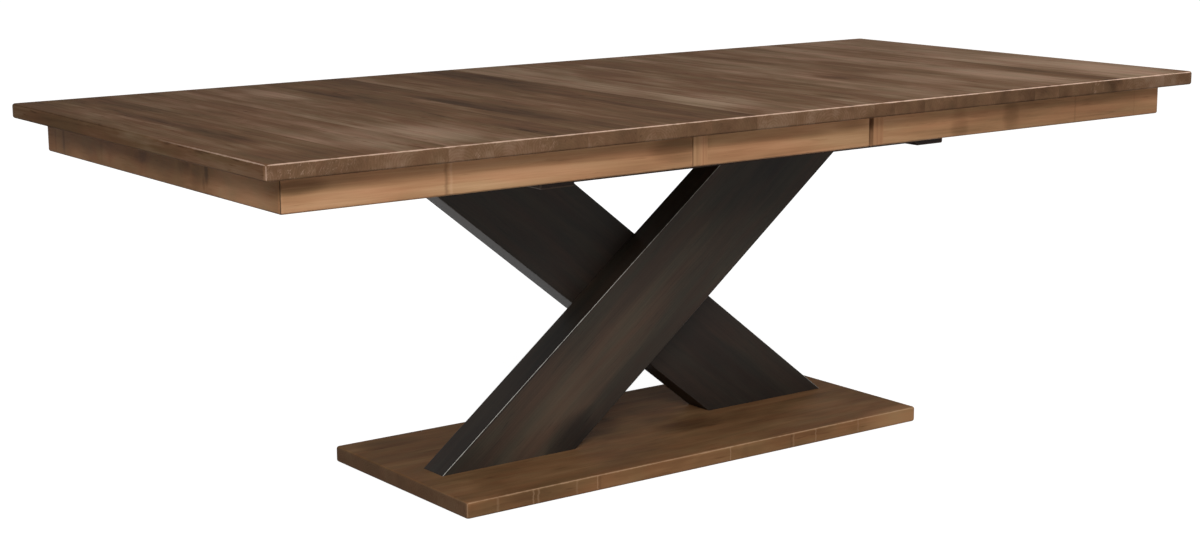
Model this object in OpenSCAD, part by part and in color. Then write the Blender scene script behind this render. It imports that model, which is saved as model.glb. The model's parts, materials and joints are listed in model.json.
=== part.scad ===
// Extending dining table with one leaf, carried on two crossed planks and a plinth.
// Millimetres. Z is up, X runs along the table, and the origin is on the floor under its centre.
// The left half is the right half turned half a turn about Z, and the base has the same symmetry.

/* [Table top] */
// Height of the top surface above the floor
table_h = 768; // [740:1:790]
// Depth of the top, front to back
top_w = 1067; // [980:1:1160]
// Length of each half of the top
half_l = 914; // [860:1:980]
// Length of the leaf between the two halves
leaf_l = 458; // [400:2:500]
// Thickness of the top boards
top_t = 29; // [26:1:34]
// Rounding of the long and short edges of the top
top_edge_r = 5; // [2:0.5:7]
// Rounding of the outer corners seen from above
top_corner_r = 9; // [8:1:14]
// Gap between the leaf and each half
leaf_gap = 0.3; // [0.2:0.1:0.6]

/* [Aprons] */
// Distance from the edge of the top to the face of the apron
apron_inset = 51; // [42:1:60]
// Height of the aprons
apron_h = 65; // [54:1:68]
// Thickness of the aprons
apron_t = 22; // [18:1:26]
// Rounding of the outer lower edges of the aprons
apron_edge_r = 4.5; // [2:0.5:5]
// Rounding of the outer corners of the aprons seen from above
apron_corner_r = 6; // [6:1:10]
// Open gap between the leaf's apron and the block on the next half
apron_gap = 12; // [6:1:16]
// Thin seam between the leaf's block and the next apron
apron_seam = 2; // [1:0.5:4]
// Width of the block on the end of the leaf's apron
leaf_block_w = 34; // [26:1:44]
// Width of the block on the inner end of a half's apron
half_block_w = 27; // [22:1:36]
// Width of the cleats that hold the aprons to the top
cleat_w = 20; // [16:1:22]
// Height of the cleats
cleat_h = 30; // [24:1:36]
// Leg of the triangular corner blocks
corner_leg = 62; // [45:1:80]
// Height of the corner blocks
corner_h = 48; // [38:1:52]
// Distance from the joint with the leaf to the ends of the cleats
cleat_setback = 16; // [12:1:30]
// Gap between the cleats and the corner blocks
cleat_end_gap = 2; // [1:0.5:4]
// Distance between the screws along a cleat
cleat_pitch = 240; // [160:5:300]

/* [Plinth] */
// Length of the plinth
plinth_l = 1188; // [1140:1:1260]
// Depth of the plinth
plinth_w = 505; // [440:1:580]
// Thickness of the plinth
plinth_t = 33; // [26:1:36]
// Rounding of the edges of the plinth
plinth_edge_r = 5; // [2:0.5:7]
// Rounding of the corners of the plinth seen from above
plinth_corner_r = 8; // [8:1:14]
// Diameter of the glides under the plinth
glide_d = 32; // [24:1:45]
// How far the glides stand out below the plinth
glide_out = 1.5; // [1:0.5:4]
// How deep the glides are let into the plinth
glide_in = 3; // [2:0.5:5]
// Distance from the ends and sides of the plinth to the glide centres
glide_inset = 36; // [28:1:60]

/* [Crossed planks] */
// Width of each plank, square to its slope
plank_w = 203; // [170:1:225]
// Thickness of each plank
plank_t = 72; // [60:1:84]
// Distance from the centre of the table to the middle of a plank's foot
foot_x = 371; // [350:1:385]
// Distance from the centre of the table to the middle of a plank's head
head_x = 407; // [390:1:425]
// Rounding of the long edges of the planks
plank_edge_r = 2.5; // [1:0.5:5]
// Diameter of the hidden dowels where the planks cross
cross_dowel_d = 16; // [12:1:20]
// Length of the hidden dowels where the planks cross
cross_dowel_l = 90; // [60:2:110]

/* [Subframe] */
// Width of the bolsters along the table
bolster_w = 76; // [64:1:90]
// Height of the bolsters
bolster_h = 48; // [42:1:56]
// Length of the bolsters, front to back
bolster_l = 784; // [740:2:800]
// Rounding of the edges of the bolsters
bolster_edge_r = 4; // [2:1:8]
// Distance from the middle of a plank's head out to the middle of its bolster
bolster_out = 68; // [56:1:74]
// Thickness of the side rails between the bolsters
side_rail_t = 22; // [18:1:26]
// Height of the side rails
side_rail_h = 41; // [34:1:42]
// Width of the spine between the bolsters
spine_w = 60; // [52:2:70]
// Diameter of the dowels in the ends of the side rails and the spine
frame_dowel_d = 10; // [8:1:10]
// Length of those dowels
frame_dowel_l = 60; // [40:2:80]

/* [Geared slides] */
// Height of the slides, from the bolsters to the underside of the top
slide_h = 43; // [41:1:50]
// Distance from the inside of the long cleats in to the middle of each slide
slide_inset = 140.5; // [136:0.5:165]
// Thickness of the fixed member of a slide
fixed_t = 28; // [24:1:30]
// How far the fixed members run on past the bolsters
fixed_over = 7; // [4:1:20]
// Thickness of the moving members
rail_t = 26; // [24:1:28]
// Clearance between the tongues and the grooves of the slides
slide_fit = 0.3; // [0.2:0.05:0.5]
// How far a tongue stands out from the fixed member
tongue_out = 8; // [6:0.5:9]
// Height of a tongue at its tip
tongue_tip = 12; // [10:0.5:13]
// Height of a tongue at its root
tongue_root = 8; // [6:0.5:9]
// Height of fixed member above its tongues
tongue_cover = 3; // [2:0.5:5]
// Gap between the top of a fixed member and the table top
fixed_gap = 4; // [3:0.5:6]
// Gap between the bolsters and the moving members above them
rail_gap = 2; // [1:0.5:2.5]
// Distance from the outer end of a moving member to the cleat on the end apron
rail_end_gap = 21; // [12:1:40]
// Length of a moving member beyond the inner end of its rack
rail_tail = 18; // [12:1:30]
// Number of screws that hold a moving member to the top
rail_screws = 5; // [3:1:7]
// Distance from the joint with the leaf to the first of those screws
rail_screw_start = 70; // [40:1:100]
// Distance from the last of those screws to the outer end of the moving member
rail_screw_end = 60; // [30:1:90]

/* [Rack and pinion] */
// Gear module: pitch diameter over the number of teeth
gear_m = 2.5; // [2.4:0.1:2.6]
// Number of teeth on the pinion
pinion_z = 16; // [16:2:18]
// Pressure angle in degrees
pressure_a = 20; // [18:0.5:22]
// Play between the teeth of rack and pinion
backlash = 0.3; // [0.2:0.05:0.5]
// Thickness of the pinion and the racks
gear_t = 11.5; // [9:0.5:12]
// Thickness of a rack behind its teeth
rack_back = 4; // [3:0.5:5]
// Wood left under the pinion's pocket
pocket_floor = 6; // [5:0.5:7]
// Room above the pinion in its pocket
pocket_room = 0.7; // [0.4:0.1:1]
// Room between the pinion's teeth and the ends of its pocket
pocket_side = 1.8; // [1:0.1:4]
// Wood left under the pinion's axle
axle_floor = 1.5; // [1:0.5:3]
// Diameter of the pinion's axle
axle_d = 8; // [6:0.5:10]
// Gap all round between the axle and the pinion's bore
axle_fit = 0.05; // [0.03:0.01:0.1]

/* [Leaf locks and pins] */
// Distance from the lever's pivot to the keeper's stud
lock_r = 50; // [44:1:52]
// Distance from the inside of the cleats to the lever pivots
lock_inset = 30; // [29:1:32]
// Diameter of the pivot
pivot_d = 6; // [5:0.5:7]
// Diameter of the keeper's stud
stud_d = 8; // [6:0.5:9]
// Thickness of the lock's plates and lever
lock_t = 2.5; // [2:0.5:3]
// Diameter of the wooden pins that line the leaf up
pin_d = 10; // [8:1:12]
// How far the pins stand out into the leaf
pin_out = 12; // [8:1:16]
// Length of a pin inside its half
pin_in = 30; // [20:1:45]
// Distance from the inside of the long cleats in to the outer pins
pin_inset = 80.5; // [74:0.5:84]
// Radius of the lever round its pivot
hub_r = 9; // [7:0.5:10]
// Width of the lever's arm
arm_w = 10; // [8:0.5:12]
// Distance from the pivot to the middle of the lever's round tail
tail_l = 20; // [16:1:22]
// Width of the lever's tail
tail_w = 8; // [6:0.5:10]
// Width of the jaw on each side of the hook's slot
jaw_w = 4.5; // [3:0.5:6]
// Half the side of the square lock plates
plate_half = 12; // [10:0.5:14]

/* [Fasteners] */
// Gap all round a fastener or dowel in its hole
hole_fit = 0.1; // [0.05:0.05:0.2]
// Shank diameter of the wood screws
screw_d = 5; // [4:0.5:6]
// Head diameter of the wood screws
screw_head = 10; // [8:0.5:11]
// How far the screws reach into the top
screw_bite = 18; // [12:1:20]
// Shank diameter of the lag bolts
lag_d = 10; // [8:1:12]
// How far the lag bolts reach into the planks
lag_bite = 45; // [30:1:52]
// Distance along the foot between two lag bolts
lag_pitch = 70; // [50:1:74]
// Distance of the middle lag bolt from the middle of the foot, towards the centre
foot_shift = 5; // [0:1:10]
// How far the lag bolts' heads are sunk
lag_shelf = 12; // [10:0.5:14]
// Thickness of the washers under them
washer_t = 2; // [1.5:0.5:3]
// Height of their hexagonal heads
hex_h = 6.4; // [5:0.2:8]
// How far the slides' screws reach into the bolsters
bolster_bite = 31; // [20:1:38]
// Distance from the inner face of a bolster to the first screw into the spine
spine_screw_x = 50; // [40:1:60]

/* [Hidden] */
$fn = 48;
eps = 0.01;
seat = 0.3;
half_turn = [0, 0, 180];

// Levels
under_top = table_h - top_t;
slide_z0 = under_top - slide_h;
bolster_z0 = slide_z0 - bolster_h;
apron_z0 = under_top - apron_h;
plinth_z1 = glide_out + plinth_t;

// Outlines of the top
leaf_half = leaf_l / 2;
table_half = leaf_half + half_l;
top_half_w = top_w / 2;
apron_x = table_half - apron_inset;
apron_y = top_half_w - apron_inset;
inner_x = apron_x - apron_t;
inner_y = apron_y - apron_t;
cleat_x = inner_x - cleat_w;
cleat_y = inner_y - cleat_w;
leaf_edge = leaf_half - leaf_gap;

// Crossed planks and subframe
plank_rise = bolster_z0 - plinth_z1;
plank_a = atan2(plank_rise, foot_x + head_x);
plank_slice = plank_w / sin(plank_a);
plank_long = plank_rise / sin(plank_a) + 2 * plank_w;
cross_z = plinth_z1 + foot_x * tan(plank_a);
bolster_x = head_x + bolster_out;
frame_x = bolster_x - bolster_w / 2;
side_rail_y = bolster_l / 2 - side_rail_t / 2;

// Slides: heights above the bolsters, and distances out from the middle of a slide
slide_y = cleat_y - slide_inset;
fixed_h = slide_h - fixed_gap;
rail_v0 = fixed_t / 2 + slide_fit;
rail_v1 = rail_v0 + rail_t;
tongue_z = fixed_h - tongue_cover - tongue_tip / 2;
fixed_l = 2 * (bolster_x + bolster_w / 2 + fixed_over);
rail_x1 = cleat_x - rail_end_gap;
travel = leaf_half;

// Rack and pinion
pitch_r = gear_m * pinion_z / 2;
tooth_pitch = PI * gear_m;
addendum = 0.9 * gear_m;
dedendum = 1.15 * gear_m;
tip_r = pitch_r + addendum;
root_r = pitch_r - dedendum;
base_r = pitch_r * cos(pressure_a);
rack_root_v = pitch_r + dedendum;
rack_v1 = rack_root_v + rack_back;
mesh_half = sqrt(tip_r * tip_r - rail_v0 * rail_v0);
rack_teeth = 2 * ceil((travel + mesh_half) / tooth_pitch);
rack_half = rack_teeth * tooth_pitch / 2;
rail_x0 = -(rack_half + rail_tail);
gear_z0 = slide_z0 + pocket_floor + seat;
pocket_z1 = gear_z0 + gear_t + pocket_room;
pocket_half = tip_r + pocket_side;
axle_z0 = slide_z0 + axle_floor;
axle_l = fixed_h - axle_floor - tongue_cover;

// Leaf locks
lock_y = cleat_y - lock_inset;
pivot_x = leaf_half + lock_r / 2;
stud_x = leaf_half - lock_r / 2;
lock_plate_z = under_top - lock_t;
lever_z0 = lock_plate_z - seat - lock_t;
stud_slot = stud_d / 2 + slide_fit + 0.2;
hook_w = stud_slot + jaw_w;
pivot_head = pivot_d;
stud_out = 1;
pin_y = cleat_y - pin_inset;
pin_z = under_top + top_t / 2;
pin_slot = pin_d / 2 + seat;
pin_ease = 1;

// Colours as they show on the table
top_col = [0.40, 0.30, 0.24];
apron_col = [0.62, 0.47, 0.36];
plinth_col = [0.40, 0.28, 0.19];
dark_col = [0.17, 0.15, 0.14];
bolster_col = [0.18, 0.13, 0.10];
inner_col = [0.78, 0.66, 0.48];
steel_col = [0.62, 0.63, 0.65];
brass_col = [0.72, 0.58, 0.32];
glide_col = [0.25, 0.25, 0.26];

// Shared shapes

// Lays a profile drawn in Y and Z along X, centred
module along_x(len) {
    rotate([90, 0, 90]) linear_extrude(len, center = true) children();
}

// Lays a profile drawn in X and Z along Y, centred
module along_y(len) {
    rotate([90, 0, 0]) linear_extrude(len, center = true) children();
}

// Rectangle centred on the origin with all four corners rounded
module eased_rect(w, h, r) {
    square([w - 2 * r, h], center = true);
    square([w, h - 2 * r], center = true);
    for (sx = [-1, 1], sy = [-1, 1])
        translate([sx * (w / 2 - r), sy * (h / 2 - r)]) circle(r);
}

// Board along X with its four long edges rounded, standing on z = 0, centred in X and Y
module board_x(len, depth, h, r) {
    along_x(len) translate([0, h / 2]) eased_rect(depth, h, r);
}

// Disc standing on z = 0 with both its rims rounded
module eased_disc(h, r, edge) rotate_extrude() intersection() {
    translate([0, h / 2]) eased_rect(2 * r, h, edge);
    square([r, h]);
}

// Board standing on z = 0, centred in X and Y, with rounded corners and a rounded edge all round
module eased_board(len, depth, h, corner, edge) {
    board_x(len - 2 * corner, depth, h, edge);
    along_y(depth - 2 * corner) translate([0, h / 2]) eased_rect(len, h, edge);
    for (sx = [-1, 1], sy = [-1, 1])
        translate([sx * (len / 2 - corner), sy * (depth / 2 - corner), 0]) eased_disc(h, corner, edge);
}

// Countersunk wood screw, head down, pointing up from the origin
module wood_screw(len, d, head, grow = 0) {
    sink = (head - d) / 2;
    tip = d;
    cylinder(h = sink, d1 = head + 2 * grow, d2 = d + 2 * grow);
    cylinder(h = len - tip, d = d + 2 * grow);
    translate([0, 0, len - tip]) cylinder(h = tip + grow, d1 = d + 2 * grow, d2 = 1);
}

// Hexagon-head lag bolt with its washer, head down, washer face at z = 0, shank upwards
module lag_bolt(len, d) {
    translate([0, 0, -washer_t]) cylinder(h = washer_t, d = 2.2 * d);
    translate([0, 0, -washer_t - hex_h]) cylinder(h = hex_h, d = 1.9 * d, $fn = 6);
    cylinder(h = len, d = d);
}

// Hole for a lag bolt, with a counterbore on the head's side
module lag_hole(len, d) {
    translate([0, 0, -2 * lag_shelf]) cylinder(h = 2 * lag_shelf, d = 2.5 * d);
    cylinder(h = len + hole_fit, d = d + 2 * hole_fit);
}

// Plain dowel lying along X or Y
module dowel_x(len, d) { rotate([0, 90, 0]) cylinder(h = len, d = d, center = true); }
module dowel_y(len, d) { rotate([90, 0, 0]) cylinder(h = len, d = d, center = true); }

// Base

// Middle of each glide under the plinth
glide_at = [for (x = [-1, 0, 1], y = [-1, 1])
    [x * (plinth_l / 2 - glide_inset), y * (plinth_w / 2 - glide_inset)]];

// Lag bolts up into the foot of the front plank
foot_bolt_at = [for (i = [-1, 0, 1]) [foot_shift - foot_x + i * lag_pitch, -plank_t / 2]];

module plinth() color(plinth_col) difference() {
    translate([0, 0, glide_out])
        eased_board(plinth_l, plinth_w, plinth_t, plinth_corner_r, plinth_edge_r);
    for (p = glide_at) translate([p[0], p[1], -eps])
        cylinder(h = glide_out + glide_in + hole_fit, d = glide_d + 2 * hole_fit);
    for (turn = [0, 180], p = foot_bolt_at) rotate(turn)
        translate([p[0], p[1], glide_out + lag_shelf]) lag_hole(plinth_t + lag_bite, lag_d);
}

module floor_glides() color(glide_col)
    for (p = glide_at) translate([p[0], p[1], 0]) {
        cylinder(h = 1, d1 = glide_d - 2, d2 = glide_d);
        translate([0, 0, 1]) cylinder(h = glide_out + glide_in - 1, d = glide_d);
    }

// Front plank, rising to the right, with its foot and head cut level
module cross_plank() {
    difference() {
        intersection() {
            translate([(head_x - foot_x) / 2, -plank_t / 2, plinth_z1 + plank_rise / 2])
                rotate([0, -plank_a, 0])
                    along_x(plank_long) eased_rect(plank_t, plank_w, plank_edge_r);
            translate([-table_half, -plank_t, plinth_z1]) cube([2 * table_half, plank_t, plank_rise]);
        }
        crossing_dowels(hole_fit);
        for (p = foot_bolt_at) translate([p[0], p[1], glide_out + lag_shelf])
            lag_hole_shank(plinth_t - lag_shelf + lag_bite);
        for (p = head_bolt_at) translate([p[0], p[1], bolster_z0 - lag_bite])
            cylinder(h = lag_bite + eps, d = lag_d + 2 * hole_fit);
        for (p = spine_bolt_at) translate([p[0], p[1], bolster_z0 - lag_bite])
            cylinder(h = lag_bite + eps, d = screw_d + 2 * hole_fit);
    }
}

module lag_hole_shank(len) { cylinder(h = len + hole_fit, d = lag_d + 2 * hole_fit); }

module front_cross_plank() color(dark_col) cross_plank();
module back_cross_plank() color(dark_col) rotate(half_turn) cross_plank();

module crossing_dowels(grow = 0) color(inner_col)
    for (s = [-1, 1]) {
        translate([0, 0, cross_z + s * plank_w / 4])
            dowel_y(cross_dowel_l + 2 * grow, cross_dowel_d + 2 * grow);
        translate([s * plank_w / 2.6, 0, cross_z])
            dowel_y(cross_dowel_l + 2 * grow, cross_dowel_d + 2 * grow);
    }

module foot_bolts() color(steel_col)
    for (turn = [0, 180], p = foot_bolt_at) rotate(turn)
        translate([p[0], p[1], glide_out + lag_shelf]) lag_bolt(plinth_t - lag_shelf + lag_bite, lag_d);

// Subframe

// Bolts down through the right bolster and the spine into the head of the front plank
head_bolt_at = [for (s = [-1, 1]) [bolster_x + s * bolster_w / 4.2, -plank_t / 2]];
spine_bolt_at = [for (s = [0, 1]) [frame_x - spine_screw_x - s * lag_pitch, -spine_w / 4]];

module right_bolster_shape() difference() {
    translate([bolster_x, 0, bolster_z0 + bolster_h / 2])
        along_y(bolster_l) eased_rect(bolster_w, bolster_h, bolster_edge_r);
    for (p = head_bolt_at) translate([p[0], p[1], slide_z0 - lag_shelf]) mirror([0, 0, 1])
        lag_hole(bolster_h, lag_d);
    subframe_dowels(hole_fit);
    fixed_slide_screws(hole_fit);
}

module right_bolster() color(bolster_col) right_bolster_shape();
module left_bolster() color(bolster_col) rotate(half_turn) right_bolster_shape();

module head_bolts() color(steel_col) for (turn = [0, 180]) rotate(turn) {
    for (p = head_bolt_at) translate([p[0], p[1], slide_z0 - lag_shelf]) mirror([0, 0, 1])
        lag_bolt(bolster_h - lag_shelf + lag_bite - seat, lag_d);
    for (p = spine_bolt_at) translate([p[0], p[1], slide_z0]) mirror([0, 0, 1])
        wood_screw(bolster_h + lag_bite - seat, screw_d, screw_head);
}

module front_rail_shape() difference() {
    translate([0, -side_rail_y, slide_z0 - side_rail_h / 2])
        cube([2 * frame_x, side_rail_t, side_rail_h], center = true);
    subframe_dowels(hole_fit);
}

module front_side_rail() color(bolster_col) front_rail_shape();
module back_side_rail() color(bolster_col) rotate(half_turn) front_rail_shape();

module centre_spine() color(bolster_col) difference() {
    translate([0, 0, slide_z0 - bolster_h / 2])
        cube([2 * frame_x, spine_w, bolster_h], center = true);
    for (turn = [0, 180], p = spine_bolt_at) rotate(turn) translate([p[0], p[1], slide_z0])
        mirror([0, 0, 1]) wood_screw(bolster_h + lag_bite, screw_d, screw_head, hole_fit);
    subframe_dowels(hole_fit);
}

// Two dowels in each end of the side rails and the spine
module subframe_dowels(grow = 0) color(inner_col)
    for (turn = [0, 180]) rotate(turn) {
        for (y = [-side_rail_y, side_rail_y], s = [-1, 1])
            translate([frame_x, y, slide_z0 - side_rail_h / 2 + s * side_rail_h / 4])
                dowel_x(frame_dowel_l + 2 * grow, frame_dowel_d + 2 * grow);
        for (y = [-spine_w / 4, spine_w / 4])
            translate([frame_x, y, slide_z0 - bolster_h / 2])
                dowel_x(frame_dowel_l + 2 * grow, frame_dowel_d + 2 * grow);
    }

// Geared slides

// Cross-section of a tongue on the side of the fixed member, grown for the groove
module tongue_profile(grow = 0)
    polygon([[-eps, -tongue_root / 2 - grow], [tongue_out + grow, -tongue_tip / 2 - grow],
             [tongue_out + grow, tongue_tip / 2 + grow], [-eps, tongue_root / 2 + grow]]);

module fixed_profile() {
    translate([-fixed_t / 2, 0]) square([fixed_t, fixed_h]);
    for (m = [0, 1]) mirror([m, 0]) translate([fixed_t / 2, tongue_z]) tongue_profile();
}

// Fixed member of the front slide, with a through pocket for the pinion
module front_fixed_shape() difference() {
    translate([0, -slide_y, slide_z0]) along_x(fixed_l) fixed_profile();
    translate([-pocket_half, -slide_y - fixed_t, gear_z0 - seat])
        cube([2 * pocket_half, 2 * fixed_t, pocket_z1 - gear_z0 + seat]);
    translate([0, -slide_y, axle_z0]) cylinder(h = slide_h, d = axle_d + 2 * axle_fit);
    fixed_slide_screws(hole_fit);
}

module front_fixed_slide() color(inner_col) front_fixed_shape();
module back_fixed_slide() color(inner_col) rotate(half_turn) front_fixed_shape();

// Screws down through the fixed members into the bolsters
module fixed_slide_screws(grow = 0) color(steel_col)
    for (turn = [0, 180], y = [-slide_y, slide_y], s = [-1, 1]) rotate(turn)
        translate([bolster_x + s * bolster_w / 4.5, y, slide_z0 + fixed_h]) mirror([0, 0, 1])
            wood_screw(fixed_h + bolster_bite, screw_d, screw_head, grow);

module pinion_axles() color(steel_col)
    for (y = [-slide_y, slide_y]) translate([0, y, axle_z0]) cylinder(h = axle_l, d = axle_d);

// Involute of the base circle: the half angle of a tooth at radius r, in degrees
function involute(a) = tan(a) * 180 / PI - a;
tooth_half = 90 / pinion_z - backlash / 2 / pitch_r * 90 / PI;
function flank_angle(r) =
    tooth_half + involute(pressure_a) - (r <= base_r ? 0 : involute(acos(base_r / r)));
flank_steps = 4;
flank_r = [root_r, for (i = [0:flank_steps]) base_r + (tip_r - base_r) * i / flank_steps];

// Pinion outline: each tooth is a left flank up and a right flank down
pinion_points = [for (t = [0:pinion_z - 1], side = [-1, 1], i = [0:len(flank_r) - 1])
    let (k = side < 0 ? i : len(flank_r) - 1 - i, r = flank_r[k],
         a = t * 360 / pinion_z + side * flank_angle(r)) [r * cos(a), r * sin(a)]];

module pinion_shape() translate([0, 0, gear_z0]) difference() {
    linear_extrude(gear_t) polygon(pinion_points);
    translate([0, 0, -1]) cylinder(h = gear_t + 2, d = axle_d + 2 * axle_fit);
}

module front_pinion() color(steel_col) translate([0, -slide_y, 0]) pinion_shape();
module back_pinion() color(steel_col) translate([0, slide_y, 0]) pinion_shape();

// Rack below the pinion's centre, teeth up, with a tooth gap at x = 0
rack_land = tooth_pitch / 4 - backlash / 4;
rack_points = [for (i = [0:rack_teeth - 1])
    let (x = (i + 0.5) * tooth_pitch - rack_half,
         wide = rack_land + dedendum * tan(pressure_a), slim = rack_land - addendum * tan(pressure_a))
    each [[x - wide, -rack_root_v], [x - slim, -pitch_r + addendum],
          [x + slim, -pitch_r + addendum], [x + wide, -rack_root_v]]];

module rack_shape() translate([0, 0, gear_z0 - seat / 2]) linear_extrude(gear_t)
    polygon(concat(rack_points, [[rack_half, -rack_root_v], [rack_half, -rack_v1],
                                 [-rack_half, -rack_v1], [-rack_half, -rack_root_v]]));

// Moving member seen from its slide's middle, on the side towards the front
module rail_shape() difference() {
    translate([rail_x0, -rail_v1, slide_z0 + rail_gap])
        cube([rail_x1 - rail_x0, rail_t, slide_h - rail_gap]);
    translate([0, 0, slide_z0 + tongue_z]) mirror([0, 1, 0])
        along_x(3 * table_half) translate([fixed_t / 2, 0]) tongue_profile(slide_fit);
    translate([-rack_half - hole_fit, -rack_v1 - hole_fit, gear_z0 - seat / 2 - hole_fit])
        cube([2 * (rack_half + hole_fit), rack_v1, gear_t + seat + hole_fit]);
    rail_screw_row(hole_fit);
}

// Screws up through a moving member into the top
rail_screw_x = [for (i = [0:rail_screws - 1])
    leaf_half + rail_screw_start
    + i * (rail_x1 - rail_screw_end - leaf_half - rail_screw_start) / (rail_screws - 1)];
module rail_screw_row(grow = 0)
    for (x = rail_screw_x)
        translate([x, -rail_v1 + rail_t / 3, slide_z0 + rail_gap])
            wood_screw(slide_h - rail_gap + screw_bite, screw_d, screw_head, grow);

// Right half of the table top

// Places a thing drawn in the frame of one slide on the front or the back slide
module at_front_slide() translate([0, -slide_y, 0]) children();
module at_back_slide() translate([0, slide_y, 0]) children();

module half_top_shape() difference() {
    intersection() {
        translate([0, 0, under_top]) eased_board(2 * table_half, top_w, top_t, top_corner_r, top_edge_r);
        translate([leaf_half, -top_w, 0]) cube([2 * half_l, 2 * top_w, 2 * table_h]);
    }
    at_front_slide() rail_screw_row(hole_fit);
    at_back_slide() rail_screw_row(hole_fit);
    cleat_screws_shape(hole_fit);
    align_pins_shape(hole_fit);
}

// Solid block inside the outer faces of all the aprons, from which each apron is a slice
module apron_envelope() translate([0, 0, apron_z0])
    eased_board(2 * apron_x, 2 * apron_y, 2 * apron_h, apron_corner_r, apron_edge_r);

// Slice of the envelope over a plan outline
module apron_slice(outline) intersection() {
    apron_envelope();
    translate([0, 0, apron_z0]) linear_extrude(apron_h) polygon(outline);
}

// Straight length of the front apron
module apron_board(x0, x1)
    apron_slice([[x0, -apron_y], [x1, -apron_y], [x1, -inner_y], [x0, -inner_y]]);

// Length of the front apron that ends in the mitre at the right corner
module mitred_board(x0)
    apron_slice([[x0, -apron_y], [apron_x, -apron_y], [inner_x, -inner_y], [x0, -inner_y]]);

module front_apron_shape() mitred_board(leaf_half + half_block_w);
module back_apron_shape() mirror([0, 1, 0]) mitred_board(leaf_half + apron_seam);
module end_apron_shape()
    apron_slice([[apron_x, -apron_y], [apron_x, apron_y], [inner_x, inner_y], [inner_x, -inner_y]]);
module apron_block_shape() apron_board(leaf_half, leaf_half + half_block_w);

module corner_blocks_shape() for (m = [0, 1]) mirror([0, m, 0])
    translate([inner_x, -inner_y, under_top - corner_h]) linear_extrude(corner_h)
        polygon([[0, 0], [0, corner_leg], [-corner_leg, 0]]);

// Ends of the long cleats and the number of screws that suit a length
cleat_x0 = leaf_half + cleat_setback;
cleat_x1 = inner_x - corner_leg - cleat_end_gap;
cleat_end_y = inner_y - corner_leg - cleat_end_gap;
function screw_count(len) = max(2, ceil(len / cleat_pitch));
function spread(a, b, n) = [for (i = [0:n - 1]) a + (b - a) * (i + 0.5) / n];

// Middle of each screw in the right half's cleats
cleat_screw_at = concat(
    [for (x = spread(cleat_x0, cleat_x1, screw_count(cleat_x1 - cleat_x0)), s = [-1, 1])
        [x, s * (inner_y - cleat_w / 2)]],
    [for (y = spread(-cleat_end_y, cleat_end_y, screw_count(2 * cleat_end_y)))
        [inner_x - cleat_w / 2, y]]);

module cleat_screws_shape(grow = 0)
    for (p = cleat_screw_at) translate([p[0], p[1], under_top - cleat_h])
        wood_screw(cleat_h + screw_bite, screw_d, screw_head, grow);

module cleats_shape() difference() {
    translate([0, 0, under_top - cleat_h]) {
        for (y = [-inner_y, cleat_y]) translate([cleat_x0, y, 0])
            cube([cleat_x1 - cleat_x0, cleat_w, cleat_h]);
        translate([cleat_x, -cleat_end_y, 0]) cube([cleat_w, 2 * cleat_end_y, cleat_h]);
    }
    cleat_screws_shape(hole_fit);
}

module front_rail() at_front_slide() rail_shape();
module back_rail() at_back_slide() rail_shape();
module racks_shape() { at_front_slide() rack_shape(); at_back_slide() rack_shape(); }
module rail_screws_shape() { at_front_slide() rail_screw_row(); at_back_slide() rail_screw_row(); }

// Round pins that stand out of the half's inner edge
module align_pins_shape(grow = 0)
    for (y = [-pin_y, 0, pin_y])
        translate([leaf_half + (pin_in - pin_out) / 2, y, pin_z]) {
            dowel_x(pin_in + pin_out + 2 * grow - 2 * pin_ease, pin_d + 2 * grow);
            dowel_x(pin_in + pin_out + 2 * grow, pin_d - 2 * pin_ease + 2 * grow);
        }

// Lock plate with its pivot and the pivot's riveted head
module lock_plates_shape() for (s = [-1, 1]) translate([pivot_x, s * lock_y, 0]) {
    translate([-plate_half, -plate_half, lock_plate_z]) cube([2 * plate_half, 2 * plate_half, lock_t]);
    translate([0, 0, lever_z0 - seat]) cylinder(h = lock_plate_z - lever_z0 + seat, d = pivot_d);
    translate([0, 0, lever_z0 - seat - lock_t]) cylinder(h = lock_t, r = pivot_head);
}

// Wedge from the origin between two angles, out past radius r
module wedge(a0, a1, r)
    polygon([[0, 0], [2 * r * cos(a0), 2 * r * sin(a0)],
             [2 * r * cos((a0 + a1) / 2), 2 * r * sin((a0 + a1) / 2)],
             [2 * r * cos(a1), 2 * r * sin(a1)]]);

// Ring about the origin between two radii
module ring(r0, r1) difference() { circle(r1); circle(r0); }

// Half the angle that the hook's head spans
hook_a = 15;

// Lever outline with its hook along +X, its open side turned to positive angles
module lever_outline() difference() {
    union() {
        circle(hub_r);
        translate([0, -arm_w / 2]) square([lock_r - stud_slot - jaw_w / 2, arm_w]);
        intersection() { ring(lock_r - hook_w, lock_r + hook_w); wedge(-hook_a, hook_a, lock_r); }
        translate([-tail_l, -tail_w / 2]) square([tail_l, tail_w]);
        translate([-tail_l, 0]) circle(d = tail_w);
    }
    circle(d = pivot_d + 2 * axle_fit);
    translate([lock_r, 0]) circle(stud_slot);
    intersection() { ring(lock_r - stud_slot, lock_r + stud_slot); wedge(0, 3 * hook_a, lock_r); }
}

module lever_shape(back) translate([pivot_x, back ? lock_y : -lock_y, lever_z0])
    mirror([0, back ? 1 : 0, 0]) rotate(90) linear_extrude(lock_t) lever_outline();

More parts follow.
